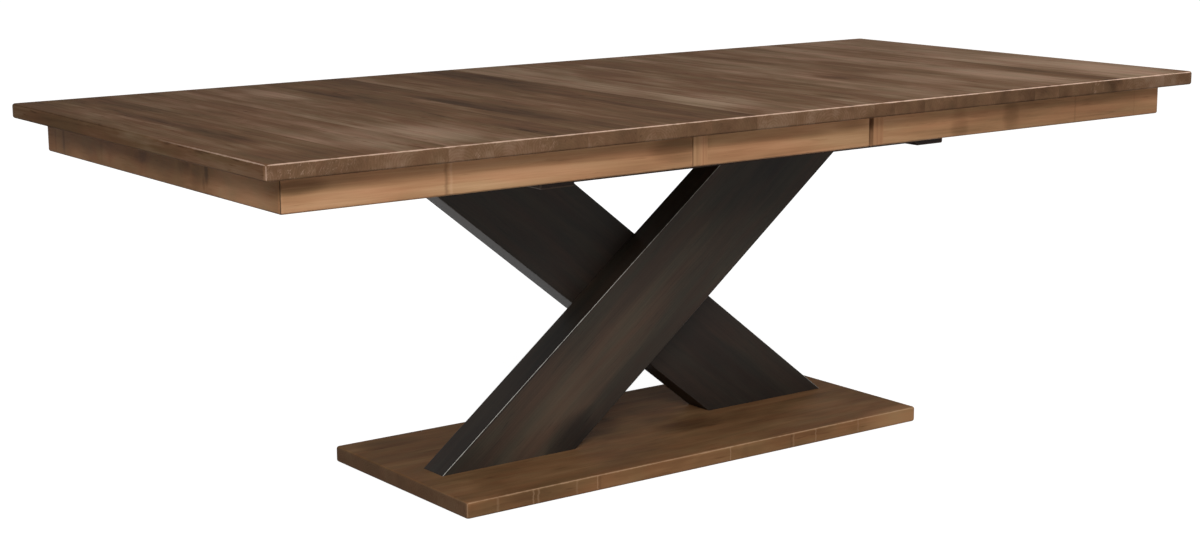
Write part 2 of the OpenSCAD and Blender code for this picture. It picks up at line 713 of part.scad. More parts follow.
// Nodes of the right half
module right_top() color(top_col) half_top_shape();
module right_end_apron() color(apron_col) end_apron_shape();
module right_front_apron() color(apron_col) front_apron_shape();
module right_back_apron() color(apron_col) back_apron_shape();
module right_apron_block() color(apron_col) apron_block_shape();
module right_corner_blocks() color(inner_col) corner_blocks_shape();
module right_cleats() color(inner_col) cleats_shape();
module right_cleat_screws() color(steel_col) cleat_screws_shape();
module right_front_rail() color(inner_col) front_rail();
module right_back_rail() color(inner_col) back_rail();
module right_racks() color(steel_col) racks_shape();
module right_rail_screws() color(steel_col) rail_screws_shape();
module right_align_pins() color(inner_col) align_pins_shape();
module right_lock_plates() color(brass_col) lock_plates_shape();
module right_front_lever() color(brass_col) lever_shape(false);
module right_back_lever() color(brass_col) lever_shape(true);

// Nodes of the left half: the same pieces turned half a turn
module left_top() color(top_col) rotate(half_turn) half_top_shape();
module left_end_apron() color(apron_col) rotate(half_turn) end_apron_shape();
module left_front_apron() color(apron_col) rotate(half_turn) back_apron_shape();
module left_back_apron() color(apron_col) rotate(half_turn) front_apron_shape();
module left_apron_block() color(apron_col) rotate(half_turn) apron_block_shape();
module left_corner_blocks() color(inner_col) rotate(half_turn) corner_blocks_shape();
module left_cleats() color(inner_col) rotate(half_turn) cleats_shape();
module left_cleat_screws() color(steel_col) rotate(half_turn) cleat_screws_shape();
module left_front_rail() color(inner_col) rotate(half_turn) back_rail();
module left_back_rail() color(inner_col) rotate(half_turn) front_rail();
module left_racks() color(steel_col) rotate(half_turn) racks_shape();
module left_rail_screws() color(steel_col) rotate(half_turn) rail_screws_shape();
module left_align_pins() color(inner_col) rotate(half_turn) align_pins_shape();
module left_lock_plates() color(brass_col) rotate(half_turn) lock_plates_shape();
module left_front_lever() color(brass_col) rotate(half_turn) lever_shape(true);
module left_back_lever() color(brass_col) rotate(half_turn) lever_shape(false);

// Leaf

// Slot for one pin, open below, in the leaf's right edge
module pin_slot_shape() translate([leaf_half - pin_out - pin_ease, 0, 0]) {
    translate([0, 0, pin_z]) rotate([0, 90, 0]) cylinder(h = pin_out + 2 * pin_ease, r = pin_slot);
    translate([0, -pin_slot, under_top - pin_ease])
        cube([pin_out + 2 * pin_ease, 2 * pin_slot, pin_z - under_top + pin_ease]);
}

leaf_screw_at = [for (x = spread(-leaf_half, leaf_half, 2), s = [-1, 1])
    [x, s * (inner_y - cleat_w / 2)]];

module leaf_screws_shape(grow = 0)
    for (p = leaf_screw_at) translate([p[0], p[1], under_top - cleat_h])
        wood_screw(cleat_h + screw_bite, screw_d, screw_head, grow);

module leaf_top() color(top_col) difference() {
    translate([0, 0, under_top + top_t / 2])
        along_x(2 * leaf_edge) eased_rect(top_w, top_t, top_edge_r);
    for (turn = [0, 180], y = [-pin_y, 0, pin_y]) rotate(turn) translate([0, y, 0]) pin_slot_shape();
    leaf_screws_shape(hole_fit);
}

module leaf_apron_shape() apron_board(-leaf_edge + leaf_block_w, leaf_half - apron_gap);
module leaf_block_shape() apron_board(-leaf_edge, -leaf_edge + leaf_block_w);
module leaf_front_apron() color(apron_col) leaf_apron_shape();
module leaf_back_apron() color(apron_col) rotate(half_turn) leaf_apron_shape();
module leaf_apron_blocks() color(apron_col) for (turn = [0, 180]) rotate(turn) leaf_block_shape();

module leaf_cleats() color(inner_col) difference() {
    for (y = [-inner_y, cleat_y]) translate([cleat_setback - leaf_half, y, under_top - cleat_h])
        cube([leaf_l - 2 * cleat_setback, cleat_w, cleat_h]);
    leaf_screws_shape(hole_fit);
}

module leaf_cleat_screws() color(steel_col) leaf_screws_shape();

// Keeper plate with its stud, under each corner of the leaf
module leaf_lock_keepers() color(brass_col)
    for (sx = [-1, 1], sy = [-1, 1]) translate([sx * stud_x, sy * lock_y, 0]) {
        translate([-plate_half, -plate_half, lock_plate_z])
            cube([2 * plate_half, 2 * plate_half, lock_t]);
        translate([0, 0, lever_z0 - stud_out])
            cylinder(h = lock_plate_z - lever_z0 + stud_out, d = stud_d);
    }

plinth();
floor_glides();
front_cross_plank();
back_cross_plank();
crossing_dowels();
foot_bolts();
left_bolster();
right_bolster();
head_bolts();
front_side_rail();
back_side_rail();
centre_spine();
subframe_dowels();
front_fixed_slide();
back_fixed_slide();
fixed_slide_screws();
pinion_axles();
front_pinion();
back_pinion();
right_top();
right_end_apron();
right_front_apron();
right_back_apron();
right_apron_block();
right_corner_blocks();
right_cleats();
right_cleat_screws();
right_front_rail();
right_back_rail();
right_racks();
right_rail_screws();
right_align_pins();
right_lock_plates();
right_front_lever();
right_back_lever();
left_top();
left_end_apron();
left_front_apron();
left_back_apron();
left_apron_block();
left_corner_blocks();
left_cleats();
left_cleat_screws();
left_front_rail();
left_back_rail();
left_racks();
left_rail_screws();
left_align_pins();
left_lock_plates();
left_front_lever();
left_back_lever();
leaf_top();
leaf_front_apron();
leaf_back_apron();
leaf_apron_blocks();
leaf_cleats();
leaf_cleat_screws();
leaf_lock_keepers();
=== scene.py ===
"""Extending pedestal table: its finishes, its screws, the studio light and the camera."""

import json
import logging
import math
from dataclasses import dataclass, field, replace
from enum import Enum
from typing import Callable, Optional, Sequence, Union

import bmesh
import bpy
from mathutils import Matrix, Vector

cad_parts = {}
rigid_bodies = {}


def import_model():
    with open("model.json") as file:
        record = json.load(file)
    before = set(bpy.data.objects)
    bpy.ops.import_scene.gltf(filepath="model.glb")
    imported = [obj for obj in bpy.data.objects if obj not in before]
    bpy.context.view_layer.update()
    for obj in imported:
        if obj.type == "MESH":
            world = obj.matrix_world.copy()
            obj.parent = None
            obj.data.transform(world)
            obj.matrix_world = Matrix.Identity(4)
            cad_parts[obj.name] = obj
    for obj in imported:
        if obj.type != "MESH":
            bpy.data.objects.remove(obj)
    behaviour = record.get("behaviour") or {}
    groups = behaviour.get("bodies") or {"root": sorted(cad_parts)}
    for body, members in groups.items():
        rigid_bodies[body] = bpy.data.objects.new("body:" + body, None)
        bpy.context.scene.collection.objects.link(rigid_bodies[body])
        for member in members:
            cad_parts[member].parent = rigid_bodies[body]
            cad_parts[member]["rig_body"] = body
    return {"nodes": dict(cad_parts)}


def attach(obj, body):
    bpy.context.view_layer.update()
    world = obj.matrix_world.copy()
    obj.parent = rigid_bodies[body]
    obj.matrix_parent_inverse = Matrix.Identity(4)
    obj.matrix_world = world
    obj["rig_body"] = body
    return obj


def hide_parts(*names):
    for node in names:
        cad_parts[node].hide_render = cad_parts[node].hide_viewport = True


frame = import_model()

LOG = logging.getLogger("table")
MM = 0.001

Piece = bpy.types.Object
Material = bpy.types.Material
Rgb = tuple[int, int, int]
Pair = tuple[float, float]
Triple = tuple[float, float, float]
Rows = tuple[tuple[float, ...], ...]
Value = Union[float, "Field"]
Key = Union[int, str]
Inputs = dict[Key, object]


def linear(colour: Rgb) -> tuple[float, float, float, float]:
    """Turns a colour as it shows on a screen into the shader's own scale.

    Args:
        colour: Red, green and blue from 0 to 255.

    Returns:
        Linear red, green, blue and an alpha of 1.
    """
    def channel(value: float) -> float:
        """Turns one channel from 0 to 1 into linear light."""
        return value / 12.92 if value <= 0.04045 else ((value + 0.055) / 1.055) ** 2.4

    red, green, blue = (channel(part / 255) for part in colour)
    return red, green, blue, 1.0


@dataclass(frozen=True)
class Field:
    """A number, vector or colour that changes over a surface; each sum on it adds a node.

    Attributes:
        graph: The graph that it belongs to.
        socket: The output that gives it.
    """

    graph: "Graph"
    socket: bpy.types.NodeSocket

    def __add__(self, other: Value) -> "Field":
        """Adds a number."""
        return self.graph.math("ADD", self, other)

    def __sub__(self, other: Value) -> "Field":
        """Takes a number away."""
        return self.graph.math("SUBTRACT", self, other)

    def __rsub__(self, other: float) -> "Field":
        """Takes this away from a number."""
        return self.graph.math("SUBTRACT", other, self)

    def __mul__(self, other: Value) -> "Field":
        """Multiplies by a number."""
        return self.graph.math("MULTIPLY", self, other)

    def __truediv__(self, other: Value) -> "Field":
        """Divides by a number."""
        return self.graph.math("DIVIDE", self, other)

    def __abs__(self) -> "Field":
        """Drops the sign."""
        return self.graph.math("ABSOLUTE", self)

    def larger(self, other: Value) -> "Field":
        """Gives the larger of two numbers."""
        return self.graph.math("MAXIMUM", self, other)

    def smaller(self, other: Value) -> "Field":
        """Gives the smaller of two numbers."""
        return self.graph.math("MINIMUM", self, other)

    def share(self, weight: float) -> "Field":
        """Multiplies by a number and keeps the result between 0 and 1."""
        return self.graph.math("MULTIPLY", self, weight, clamp=True)

    def rise(self, low: float, high: float) -> "Field":
        """Rises softly from 0 to 1 as this goes from low to high, or falls if low is above high.

        Args:
            low: Where it is 0.
            high: Where it is 1.

        Returns:
            The share.
        """
        start, stop = (1.0, 0.0) if low > high else (0.0, 1.0)
        return self.graph.result("MapRange", {0: self, 1: min(low, high), 2: max(low, high), 3: start, 4: stop},
                                 interpolation_type="SMOOTHSTEP", clamp=True)

    def between(self, low: float, high: float, first: float, last: float) -> "Field":
        """Goes softly from a first value to a last one as this goes from low to high."""
        return self.rise(low, high) * (last - first) + first


class Graph:
    """The node graph of a material or of the world.

    Attributes:
        owner: The material or the world.
        tree: Its node tree.
    """

    def __init__(self, owner: Union[Material, bpy.types.World]) -> None:
        """Starts an empty graph.

        Args:
            owner: The material or the world.
        """
        owner.use_nodes = True
        self.owner = owner
        self.tree = owner.node_tree
        self.tree.nodes.clear()

    def node(self, kind: str, inputs: Optional[Inputs] = None, **settings: object) -> bpy.types.Node:
        """Adds a node.

        Args:
            kind: Blender's name of the node, after ShaderNode.
            inputs: A field, number, vector or colour for each input that is filled.
            settings: Properties of the node.

        Returns:
            The new node.
        """
        made = self.tree.nodes.new("ShaderNode" + kind)
        for key, value in settings.items():
            setattr(made, key, value)
        for key, value in (inputs or {}).items():
            if isinstance(value, Field):
                self.tree.links.new(value.socket, made.inputs[key])
            else:
                made.inputs[key].default_value = value
        return made

    def result(self, kind: str, inputs: Optional[Inputs] = None, output: Key = 0,
               **settings: object) -> Field:
        """Adds a node and gives one of its outputs.

        Args:
            kind: Blender's name of the node, after ShaderNode.
            inputs: What fills its inputs.
            output: Number or name of the output.
            settings: Properties of the node.

        Returns:
            The output.
        """
        return Field(self, self.node(kind, inputs, **settings).outputs[output])

    def math(self, operation: str, *values: Value, clamp: bool = False) -> Field:
        """Does a sum on one to three numbers, under Blender's name of it."""
        return self.result("Math", dict(enumerate(values)), operation=operation, use_clamp=clamp)

    def vector(self, x: Value, y: Value, z: Value) -> Field:
        """Joins three numbers into a vector."""
        return self.result("CombineXYZ", {0: x, 1: y, 2: z})

    def split(self, vector: Field) -> list[Field]:
        """Parts a vector or colour into its three numbers."""
        return [Field(self, socket) for socket in self.node("SeparateXYZ", {0: vector}).outputs[:3]]

    def noise(self, vector: Field, scale: float, detail: float = 2.0, rough: float = 0.5,
              warp: float = 0.0) -> Field:
        """Adds a soft random field around 0.5.

        Args:
            vector: Place in the wood or metal.
            scale: How many features there are to a unit.
            detail: Number of finer layers.
            rough: Strength of the finer layers.
            warp: How far the field is stirred.

        Returns:
            The field.
        """
        return self.result("TexNoise", {"Vector": vector, "Scale": scale, "Detail": detail, "Roughness": rough,
                                        "Distortion": warp})

    def ramp(self, value: Field, stops: Sequence[tuple[float, Sequence[float]]], steps: bool = False) -> Field:
        """Reads a colour off a scale.

        Args:
            value: Where to read, from 0 to 1.
            stops: Places and linear colours.
            steps: Whether the colour jumps from stop to stop.

        Returns:
            The colour.
        """
        made = self.node("ValToRGB", {0: value})
        scale = made.color_ramp
        scale.interpolation = "CONSTANT" if steps else "LINEAR"
        while len(scale.elements) > 1:
            scale.elements.remove(scale.elements[-1])
        for index, (place, colour) in enumerate(stops):
            stop = scale.elements[0] if index == 0 else scale.elements.new(place)
            stop.position = place
            stop.color = (*colour[:3], 1.0)
        return Field(self, made.outputs[0])

    def blend(self, factor: Value, first: Union[Field, Rgb], second: Union[Field, Rgb],
              mode: str = "MIX") -> Field:
        """Mixes two colours.

        Args:
            factor: Share of the second, from 0 to 1.
            first: Field, or colour as it shows.
            second: Field, or colour as it shows.
            mode: Blender's name of the way to mix.

        Returns:
            The mixed colour.
        """
        first, second = (part if isinstance(part, Field) else linear(part) for part in (first, second))
        return self.result("Mix", {0: factor, 6: first, 7: second}, 2, data_type="RGBA", blend_type=mode,
                           clamp_factor=True)

    def weigh(self, base: float, *parts: tuple[Value, float]) -> Value:
        """Adds fields around 0.5 to a number.

        Args:
            base: Number to start from.
            parts: Each field and how much it counts.

        Returns:
            The sum.
        """
        total: Value = base - sum(weight for _, weight in parts) / 2
        for part, weight in parts:
            total = part * weight + total
        return total

    def seen(self) -> Field:
        """Tells the rays that come straight, by gloss or through glass from the camera.

        Returns:
            1 for such a ray and 0 for soft light.
        """
        path = self.node("LightPath")
        camera, gloss, glass = (Field(self, path.outputs[f"Is {kind} Ray"])
                                for kind in ("Camera", "Glossy", "Transmission"))
        return camera.larger(gloss).larger(glass)

    def finish(self, colour: Field, roughness: Field, height: Field, depth: float,
               settings: Inputs) -> Material:
        """Closes the graph with a surface.

        Args:
            colour: Base colour.
            roughness: Roughness.
            height: Relief from 0 to 1.
            depth: Height of that relief in metres.
            settings: Numbers set on the surface's own sockets.

        Returns:
            The material.
        """
        bump = self.result("Bump", {"Strength": 1.0, "Distance": depth, "Height": height})
        surface = self.result("BsdfPrincipled", {"Base Color": colour, "Roughness": roughness, "Normal": bump,
                                                 **settings})
        self.node("OutputMaterial", {"Surface": surface})
        return self.owner


class Lay(Enum):
    """How a board lies: the axes that its length, width and thickness follow."""

    TOP = (1, 0, 2)
    FLAT = (0, 1, 2)
    ON_EDGE = (0, 2, 1)
    END_ON_EDGE = (1, 2, 0)
    UPRIGHT = (2, 0, 1)


@dataclass(frozen=True)
class Board:
    """Place of a board or of a row of glued boards, in millimetres.

    Attributes:
        name: Name of the piece, for its material.
        lay: How it lies.
        centre: Middle of the box whose arrises are worn.
        half: Half the size of that box.
        turn: Turn of the piece in degrees.
        joints: Start of each glued board across the row and its tone from 0 to 1.
        marks: Place along X, width and strength of upright lines on the long faces.
        tone_and_light_spots: Middle along and up or across, half sizes and depth of soft dark places, light
            ones below 0; partly the wood's own tone, partly painted shade and painted light.
        rounding: Radius of the corners seen from above and of the level arrises.
        corner: Strength of the dark line down the upright corners.
        wear_ends: Share of the wear at the piece's left and right ends.
        back_wear_and_shade: Share of the wear on the arrises at the back; below 0 it paints shade there
            instead, a dark line.
        lower_wear_and_shade: The same for the lower arrises.
        end_wear: Share of the wear on the level arrises of the two ends.
    """

    name: str
    lay: Lay
    centre: Triple
    half: Triple
    turn: Triple = (0.0, 0.0, 0.0)
    joints: Rows = ()
    marks: Rows = ()
    tone_and_light_spots: Rows = ()
    rounding: Pair = (1.0, 1.0)
    corner: float = 0.0
    wear_ends: Pair = (1.0, 1.0)
    back_wear_and_shade: float = 1.0
    lower_wear_and_shade: float = 0.5
    end_wear: float = 1.0


@dataclass(frozen=True)
class Stain:
    """A wood finish: its colours and how much of each kind of figure shows.

    Attributes:
        name: Name of the finish.
        dark: Darkest colour of the figure.
        base: Middle colour.
        light: Lightest colour.
        end: Colour that multiplies the end grain.
        warm: Colour that multiplies the warm clouds.
        cool: Colour that multiplies the cool clouds.
        worn: Colour of rubbed arrises.
        edge_shade_and_joint: Colour of the painted shade on the lower and back arrises, and of the dark joint
            line down the mitred corners.
        blotch: Length and width of the wide blotches in millimetres.
        streak: Length and width of the streaks.
        warp: How far the blotches are stirred.
        taper: Slope of the growth rings to the board's length.
        boards: Weight of the tones of the boards.
        clouds: Weight of the wide blotches.
        streaks: Weight of the streaks along the grain.
        rings: Weight of the growth rings.
        end_rings: Weight of the growth rings on end grain.
        fibre: Weight of the fine fibre.
        flecks: Weight of the short dark flecks.
        wear: Strength of the wear.
        wear_width: Width of the wear in millimetres.
        rough: Roughness.
        gloss: Level of the mirror-like reflection.
        relief: Height of the relief in millimetres.
        scratches: Strength of the fine light scratches.
    """

    name: str
    dark: Rgb
    base: Rgb
    light: Rgb
    end: Rgb = (215, 205, 200)
    warm: Rgb = (255, 240, 236)
    cool: Rgb = (240, 247, 240)
    worn: Rgb = (190, 160, 135)
    edge_shade_and_joint: Rgb = (46, 32, 23)
    blotch: Pair = (220.0, 80.0)
    streak: Pair = (330.0, 17.0)
    warp: float = 0.5
    taper: float = 0.035
    boards: float = 0.5
    clouds: float = 0.5
    streaks: float = 0.6
    rings: float = 0.2
    end_rings: float = 0.2
    fibre: float = 0.25
    flecks: float = 0.35
    wear: float = 0.8
    wear_width: float = 3.0
    rough: float = 0.5
    gloss: float = 0.35
    relief: float = 0.12
    scratches: float = 0.0

    def material(self, board: Board) -> Material:
        """Writes the finish for one piece."""
        return Staining(self, board).material()


class Staining:
    """One stain on one piece: the graph and the fields that the steps of its finish share.

    Attributes:
        stain: The finish.
        board: The piece.
        graph: The material's graph.
        normal: The face's direction in the piece's own frame.
        place: Place in millimetres in the frame of the piece's box.
        axes: The same place, number by number.
        inset: Depth below the box's faces along each axis.
        end: 1 on end grain and 0 elsewhere.
        tone: Tone of the glued board.
        clouds: Wide blotches, a field around 0.5 as the next three.
        hue: Warm and cool clouds.
        streaks: Streaks along the grain.
        fibre: Fine fibre.
        flecks: Short dark flecks from 0 to 1.
        rings: Growth rings from 0 to 1.
    """

    # Millimetres: length and width of a fibre and of a fleck, space and waver of the growth rings, how far
    # the heart of the tree lies aside from a board and below it, and how far boards are shifted lengthwise.
    FIBRE = (45.0, 1.3)
    FLECK = (70.0, 6.0)
    RING_SPACING = 5.5
    RING_WAVER = 14.0
    HEART_ASIDE = 55.0
    HEART_BELOW = 22.0
    SHIFT = 900.0
    # Step between the boards' own numbers, and what end grain loses of its contrast and of its tint.
    OWN_STEP = 0.618
    END_CALM = 0.45
    END_PALE = 0.6
    # Depth of a rounded arris below the sharp one, as a share of its radius.
    ARRIS_DEPTH = 1.0 - math.sqrt(0.5)

    def __init__(self, stain: Stain, board: Board) -> None:
        """Finds the place in the piece, its end grain and the figure of its wood.

        Args:
            stain: The finish.
            board: The piece.
        """
        self.stain, self.board = stain, board
        self.graph = graph = Graph(bpy.data.materials.new(f"{stain.name}_{board.name}"))
        coords = graph.node("TexCoord").outputs
        self.normal = Field(graph, coords["Normal"])
        self.place = graph.result("Mapping", {
            "Vector": Field(graph, coords["Object"]), "Location": [part * MM for part in board.centre],
            "Rotation": [math.radians(part) for part in board.turn], "Scale": (MM, MM, MM)},
            vector_type="TEXTURE")
        self.axes = graph.split(self.place)
        self.inset = [half - abs(axis) for axis, half in zip(self.axes, board.half)]
        self.end: Value = 0.0 if any(board.turn) else self._facing(board.lay.value[0])
        self._figure()

    def _facing(self, axis: int) -> Field:
        """Gives 1 on the faces square to an axis and 0 elsewhere."""
        return abs(self.graph.split(self.normal)[axis]).rise(0.6, 0.85)

    def _glued(self, across: Field) -> tuple[Value, Value, Value]:
        """Gives each glued board its tone, its middle and a number of its own.

        Args:
            across: Place across the boards.

        Returns:
            Tone, place of the board's middle and its own number from 0 to 1.
        """
        joints = self.board.joints
        if not joints:
            own = (sum(map(ord, self.board.name)) % 17) / 17
            return own, 0.0, own
        starts = [start for start, _ in joints]
        low, high = starts[0], 2 * starts[-1] - starts[-2]
        span = high - low
        stops = [((start - low) / span, (tone, ((start + stop) / 2 - low) / span, index * self.OWN_STEP % 1.0))
                 for index, ((start, tone), stop) in enumerate(zip(joints, starts[1:] + [high]))]
        tone, middle, own = self.graph.split(self.graph.ramp((across - low) / span, stops, steps=True))
        return tone, middle * span + low, own

    def _figure(self) -> None:
        """Writes the figure of the wood: blotches, streaks, fibre, flecks and growth rings."""
        stain, graph = self.stain, self.graph
        along, across, through = (self.axes[index] for index in self.board.lay.value)
        self.tone, middle, own = self._glued(across)
        moved = along + own * self.SHIFT

        def stretched(length: float, width: float) -> Field:
            """Place in units of a feature's length and width."""
            return graph.vector(moved / length, across / width, through / width)

        length, width = stain.blotch
        self.clouds = graph.noise(stretched(length, width), 1.0, 3.0, 0.55, stain.warp)
        self.hue = graph.noise(stretched(0.7 * length, 0.6 * width), 1.3, 2.0, 0.5, 0.4)
        self.streaks = graph.noise(stretched(*stain.streak), 1.0, 4.0, 0.6, 0.25)
        self.fibre = graph.noise(stretched(*self.FIBRE), 1.0, 3.0, 0.6)
        self.flecks = graph.noise(stretched(*self.FLECK), 1.0, 2.0, 0.5, 0.3).rise(0.62, 0.8)

        side = across - middle + (own - 0.5) * self.HEART_ASIDE
        depth = moved * stain.taper + (through + self.HEART_BELOW)
        radius = graph.math("SQRT", side * side + depth * depth)
        saw = graph.math("FRACT", (radius + (self.streaks - 0.5) * self.RING_WAVER) / self.RING_SPACING)
        self.rings = saw.rise(0.0, 0.85) * saw.rise(1.0, 0.88)

    def material(self) -> Material:
        """Writes the finish: the tone, its colours, the lines, the wear and the relief.

        Returns:
            The material.
        """
        stain, board, graph, end = self.stain, self.board, self.graph, self.end
        value = graph.weigh(0.5, (self.tone, stain.boards), (self.clouds, stain.clouds),
                            (self.streaks, stain.streaks), (self.fibre, stain.fibre))
        ring_weight = end * (stain.end_rings - stain.rings) + stain.rings
        value = value + (self.rings - 0.5) * ring_weight - self.flecks * stain.flecks
        value = (self._spotted(value) - 0.5) * (end * -self.END_CALM + 1.0) + 0.5
        colour = graph.ramp(value, ((0.0, linear(stain.dark)), (0.5, linear(stain.base)),
                                    (1.0, linear(stain.light))))
        tint = graph.ramp(self.hue, ((0.35, linear(stain.warm)), (0.65, linear(stain.cool))))
        colour = graph.blend(end * -self.END_PALE + 1.0, colour, graph.blend(1.0, colour, tint, "MULTIPLY"))
        colour = graph.blend(end, colour, graph.blend(1.0, colour, stain.end, "MULTIPLY"))
        if board.marks:
            level = self._marks()
            colour = graph.blend(level.larger(0.0), colour, stain.worn)
            colour = graph.blend((level * -1.0).larger(0.0), colour, stain.dark)
        if stain.scratches:
            colour = graph.blend(self._scratches() * end, colour, stain.worn)
        arris = self._arris()
        colour = graph.blend(arris.share(stain.wear), colour, stain.worn)
        # Painted shade: arrises whose share falls below 0, the lower and back ones, take the dark edge colour.
        colour = graph.blend(arris.share(-1.0), colour, stain.edge_shade_and_joint)
        if board.corner:
            colour = graph.blend(self._corner() * board.corner, colour, stain.edge_shade_and_joint)

        rough = graph.weigh(stain.rough, (self.clouds, 0.10), (self.fibre, 0.08))
        height = graph.weigh(0.5, (self.fibre, 0.6), (self.rings, 0.25)) - self.flecks * 0.5
        return graph.finish(colour, rough, height, stain.relief * MM,
                            {"Specular IOR Level": stain.gloss, "IOR": 1.45})

    def _spotted(self, value: Field) -> Field:
        """Adds the soft dark and light places, whose outlines the clouds make uneven.

        Args:
            value: Tone so far.

        Returns:
            The tone with its places.
        """
        # The places are partly the wood's own tone and partly painted shade and painted light.
        uneven, rim, core = 1.6, 2.2, 0.6
        first, second = sorted(self.board.lay.value[:2])
        for x, y, half_x, half_y, depth in self.board.tone_and_light_spots:
            aside, ahead = (self.axes[first] - x) / half_x, (self.axes[second] - y) / half_y
            reach = self.clouds * uneven + (aside * aside + ahead * ahead)
            value = reach.rise(rim, core) * -depth + value
        return value

    def _marks(self) -> Field:
        """Finds the upright lines on the long faces.

        Returns:
            Above 0 on a light line and below 0 on a dark one.
        """
        length, height, waver = 90.0, 9.0, 7.0
        x, _, z = self.axes
        swing = self.graph.noise(self.graph.vector(x / length, 0.0, z / height), 1.0, 2.0, 0.5)
        moved = (swing - 0.5) * waver + x
        level: Value = 0.0
        for spot, width, strength in self.board.marks:
            level = abs(moved - spot).rise(width, 0.0) * strength + level
        return level * self._facing(1)

    def _scratches(self) -> Field:
        """Finds the fine slanting scratches, which come in patches and near the left corner.

        Returns:
            How much of the worn colour shows.
        """
        length, width, (start, full) = 45.0, 9.0, (300.0, 30.0)
        graph, left, (x, y, z) = self.graph, -self.board.half[0], self.axes
        down = z * 0.9 + x * 0.5
        over = z * -0.5 + (y * 0.4 + x)
        swirl = graph.noise(graph.vector(down / length, over / width, 0.0), 1.0, 3.0, 0.55, 1.6)
        broken = graph.noise(self.place, 0.07).rise(0.42, 0.6)
        patch = graph.noise(self.place, 0.009).rise(0.53, 0.7).larger(x.rise(left + start, left + full))
        return abs(swirl - 0.5).rise(0.03, 0.005) * broken * patch * self.stain.scratches

    def _arris(self) -> Field:
        """Finds the rubbed arrises of the piece's box.

        Returns:
            Above 0 on a rubbed arris, below 0 on an arris with painted shade and 0 elsewhere.
        """
        uneven, sharp, on_corners, end_reach = 2.2, 0.35, 0.65, 3.0
        board, width, (aside, ahead, below) = self.board, self.stain.wear_width, self.inset
        x, y, z = self.axes
        patchy = self.graph.noise(self.place, 0.006, 3.0, 0.6).rise(0.0, 0.5)
        grain = self.graph.noise(self.place, 0.05, 4.0, 0.7) - 0.5

        def line(depth: Field, radius: float) -> Field:
            """Turns a depth below the box into an uneven line along an arris of that radius."""
            below_arris = depth - self.ARRIS_DEPTH * radius
            return (grain * (uneven * width) + below_arris).rise(width, sharp * width)

        level = line(aside.smaller(ahead).larger(below), board.rounding[1])
        upright = (1.0 - level) * line(aside.larger(ahead), board.rounding[0])
        if board.end_wear != 1.0:
            level = level * (aside - ahead).between(-end_reach, end_reach, board.end_wear, 1.0)
        # Below 0, back and upper turn the wear into painted shade on the back and lower arrises.
        back = y.between(-0.95 * board.half[1], 0.3 * board.half[1], 1.0, board.back_wear_and_shade)
        upper = z.between(-1.0, 1.0, board.lower_wear_and_shade, 1.0)
        worn = upright * back * on_corners + upper.smaller(back) * level
        return worn * x.between(-board.half[0], board.half[0], *board.wear_ends) * patchy

    def _corner(self) -> Field:
        """Finds the uneven dark line down the mitred corners.

        Returns:
            1 on the line and 0 elsewhere.
        """
        height, waver, width, depth = 7.0, 2.0, (2.2, 0.9), (6.0, 4.0)
        aside, ahead, _ = self.inset
        swing = self.graph.noise(self.graph.vector(0.0, 0.0, self.axes[2] / height), 1.0, 3.0, 0.6)
        off_line = abs((swing - 0.5) * waver + (aside - ahead))
        return off_line.rise(*width) * aside.larger(ahead).rise(*depth)


@dataclass(frozen=True)
class Metal:
    """A plated metal: bright crystals or tarnish, fine brush lines, scuffs and dull patches.

    Attributes:
        name: Name of the finish.
        base: Main colour.
        dull: Colour of the dull patches.
        rough: Roughness.
        spangle: Size of the crystals in millimetres.
        scuffed: Colour of the scuffs.
    """

    name: str
    base: Rgb
    dull: Rgb
    rough: float = 0.34
    spangle: float = 2.2
    scuffed: Rgb = (235, 232, 226)

    def material(self) -> Material:
        """Writes the finish.

        Returns:
            The material.
        """
        graph = Graph(bpy.data.materials.new(self.name))
        coords = graph.result("TexCoord", output="Object")
        crystal = graph.split(graph.result("TexVoronoi", {"Vector": coords, "Scale": 1000.0 / self.spangle},
                                           "Color"))[0]
        cloud = graph.noise(coords, 60.0, 4.0, 0.6, 0.5)
        stretched = graph.result("Mapping", {"Vector": coords, "Scale": (60.0, 2400.0, 2400.0)})
        brushed = graph.noise(stretched, 1.0, 3.0, 0.6)
        scuff = graph.noise(coords, 420.0, 3.0, 0.7, 1.2).rise(0.60, 0.72)
        dulled = graph.weigh(0.35, (cloud, 1.2), (crystal, 0.35))
        colour = graph.blend(dulled, self.base, self.dull)
        colour = graph.blend(scuff * 0.5, colour, self.scuffed)
        rough = graph.weigh(self.rough, (cloud, 0.25), (brushed, 0.15), (crystal, 0.08))
        height = graph.weigh(0.5, (brushed, 0.8), (crystal, 0.2))
        return graph.finish(colour, rough, height, 0.02 * MM, {"Metallic": 1.0})


@dataclass(frozen=True)
class Plastic:
    """A moulded plastic with a fine eroded texture and pale scuffs.

    Attributes:
        name: Name of the finish.
        base: Main colour.
        scuffed: Colour of the scuffs.
    """

    name: str
    base: Rgb
    scuffed: Rgb

    def material(self) -> Material:
        """Writes the finish.

        Returns:
            The material.
        """
        graph = Graph(bpy.data.materials.new(self.name))
        coords = graph.result("TexCoord", output="Object")
        pebble = graph.noise(coords, 1500.0, 3.0, 0.6)
        cloud = graph.noise(coords, 90.0, 4.0, 0.6)
        scuff = graph.noise(coords, 300.0, 4.0, 0.7, 1.0).rise(0.58, 0.7)
        colour = graph.blend(scuff * 0.45, self.base, self.scuffed)
        colour = graph.blend(cloud * 0.3, colour, self.scuffed)
        rough = graph.weigh(0.55, (cloud, 0.2), (pebble, 0.1))
        return graph.finish(colour, rough, pebble, 0.08 * MM, {"Specular IOR Level": 0.4})


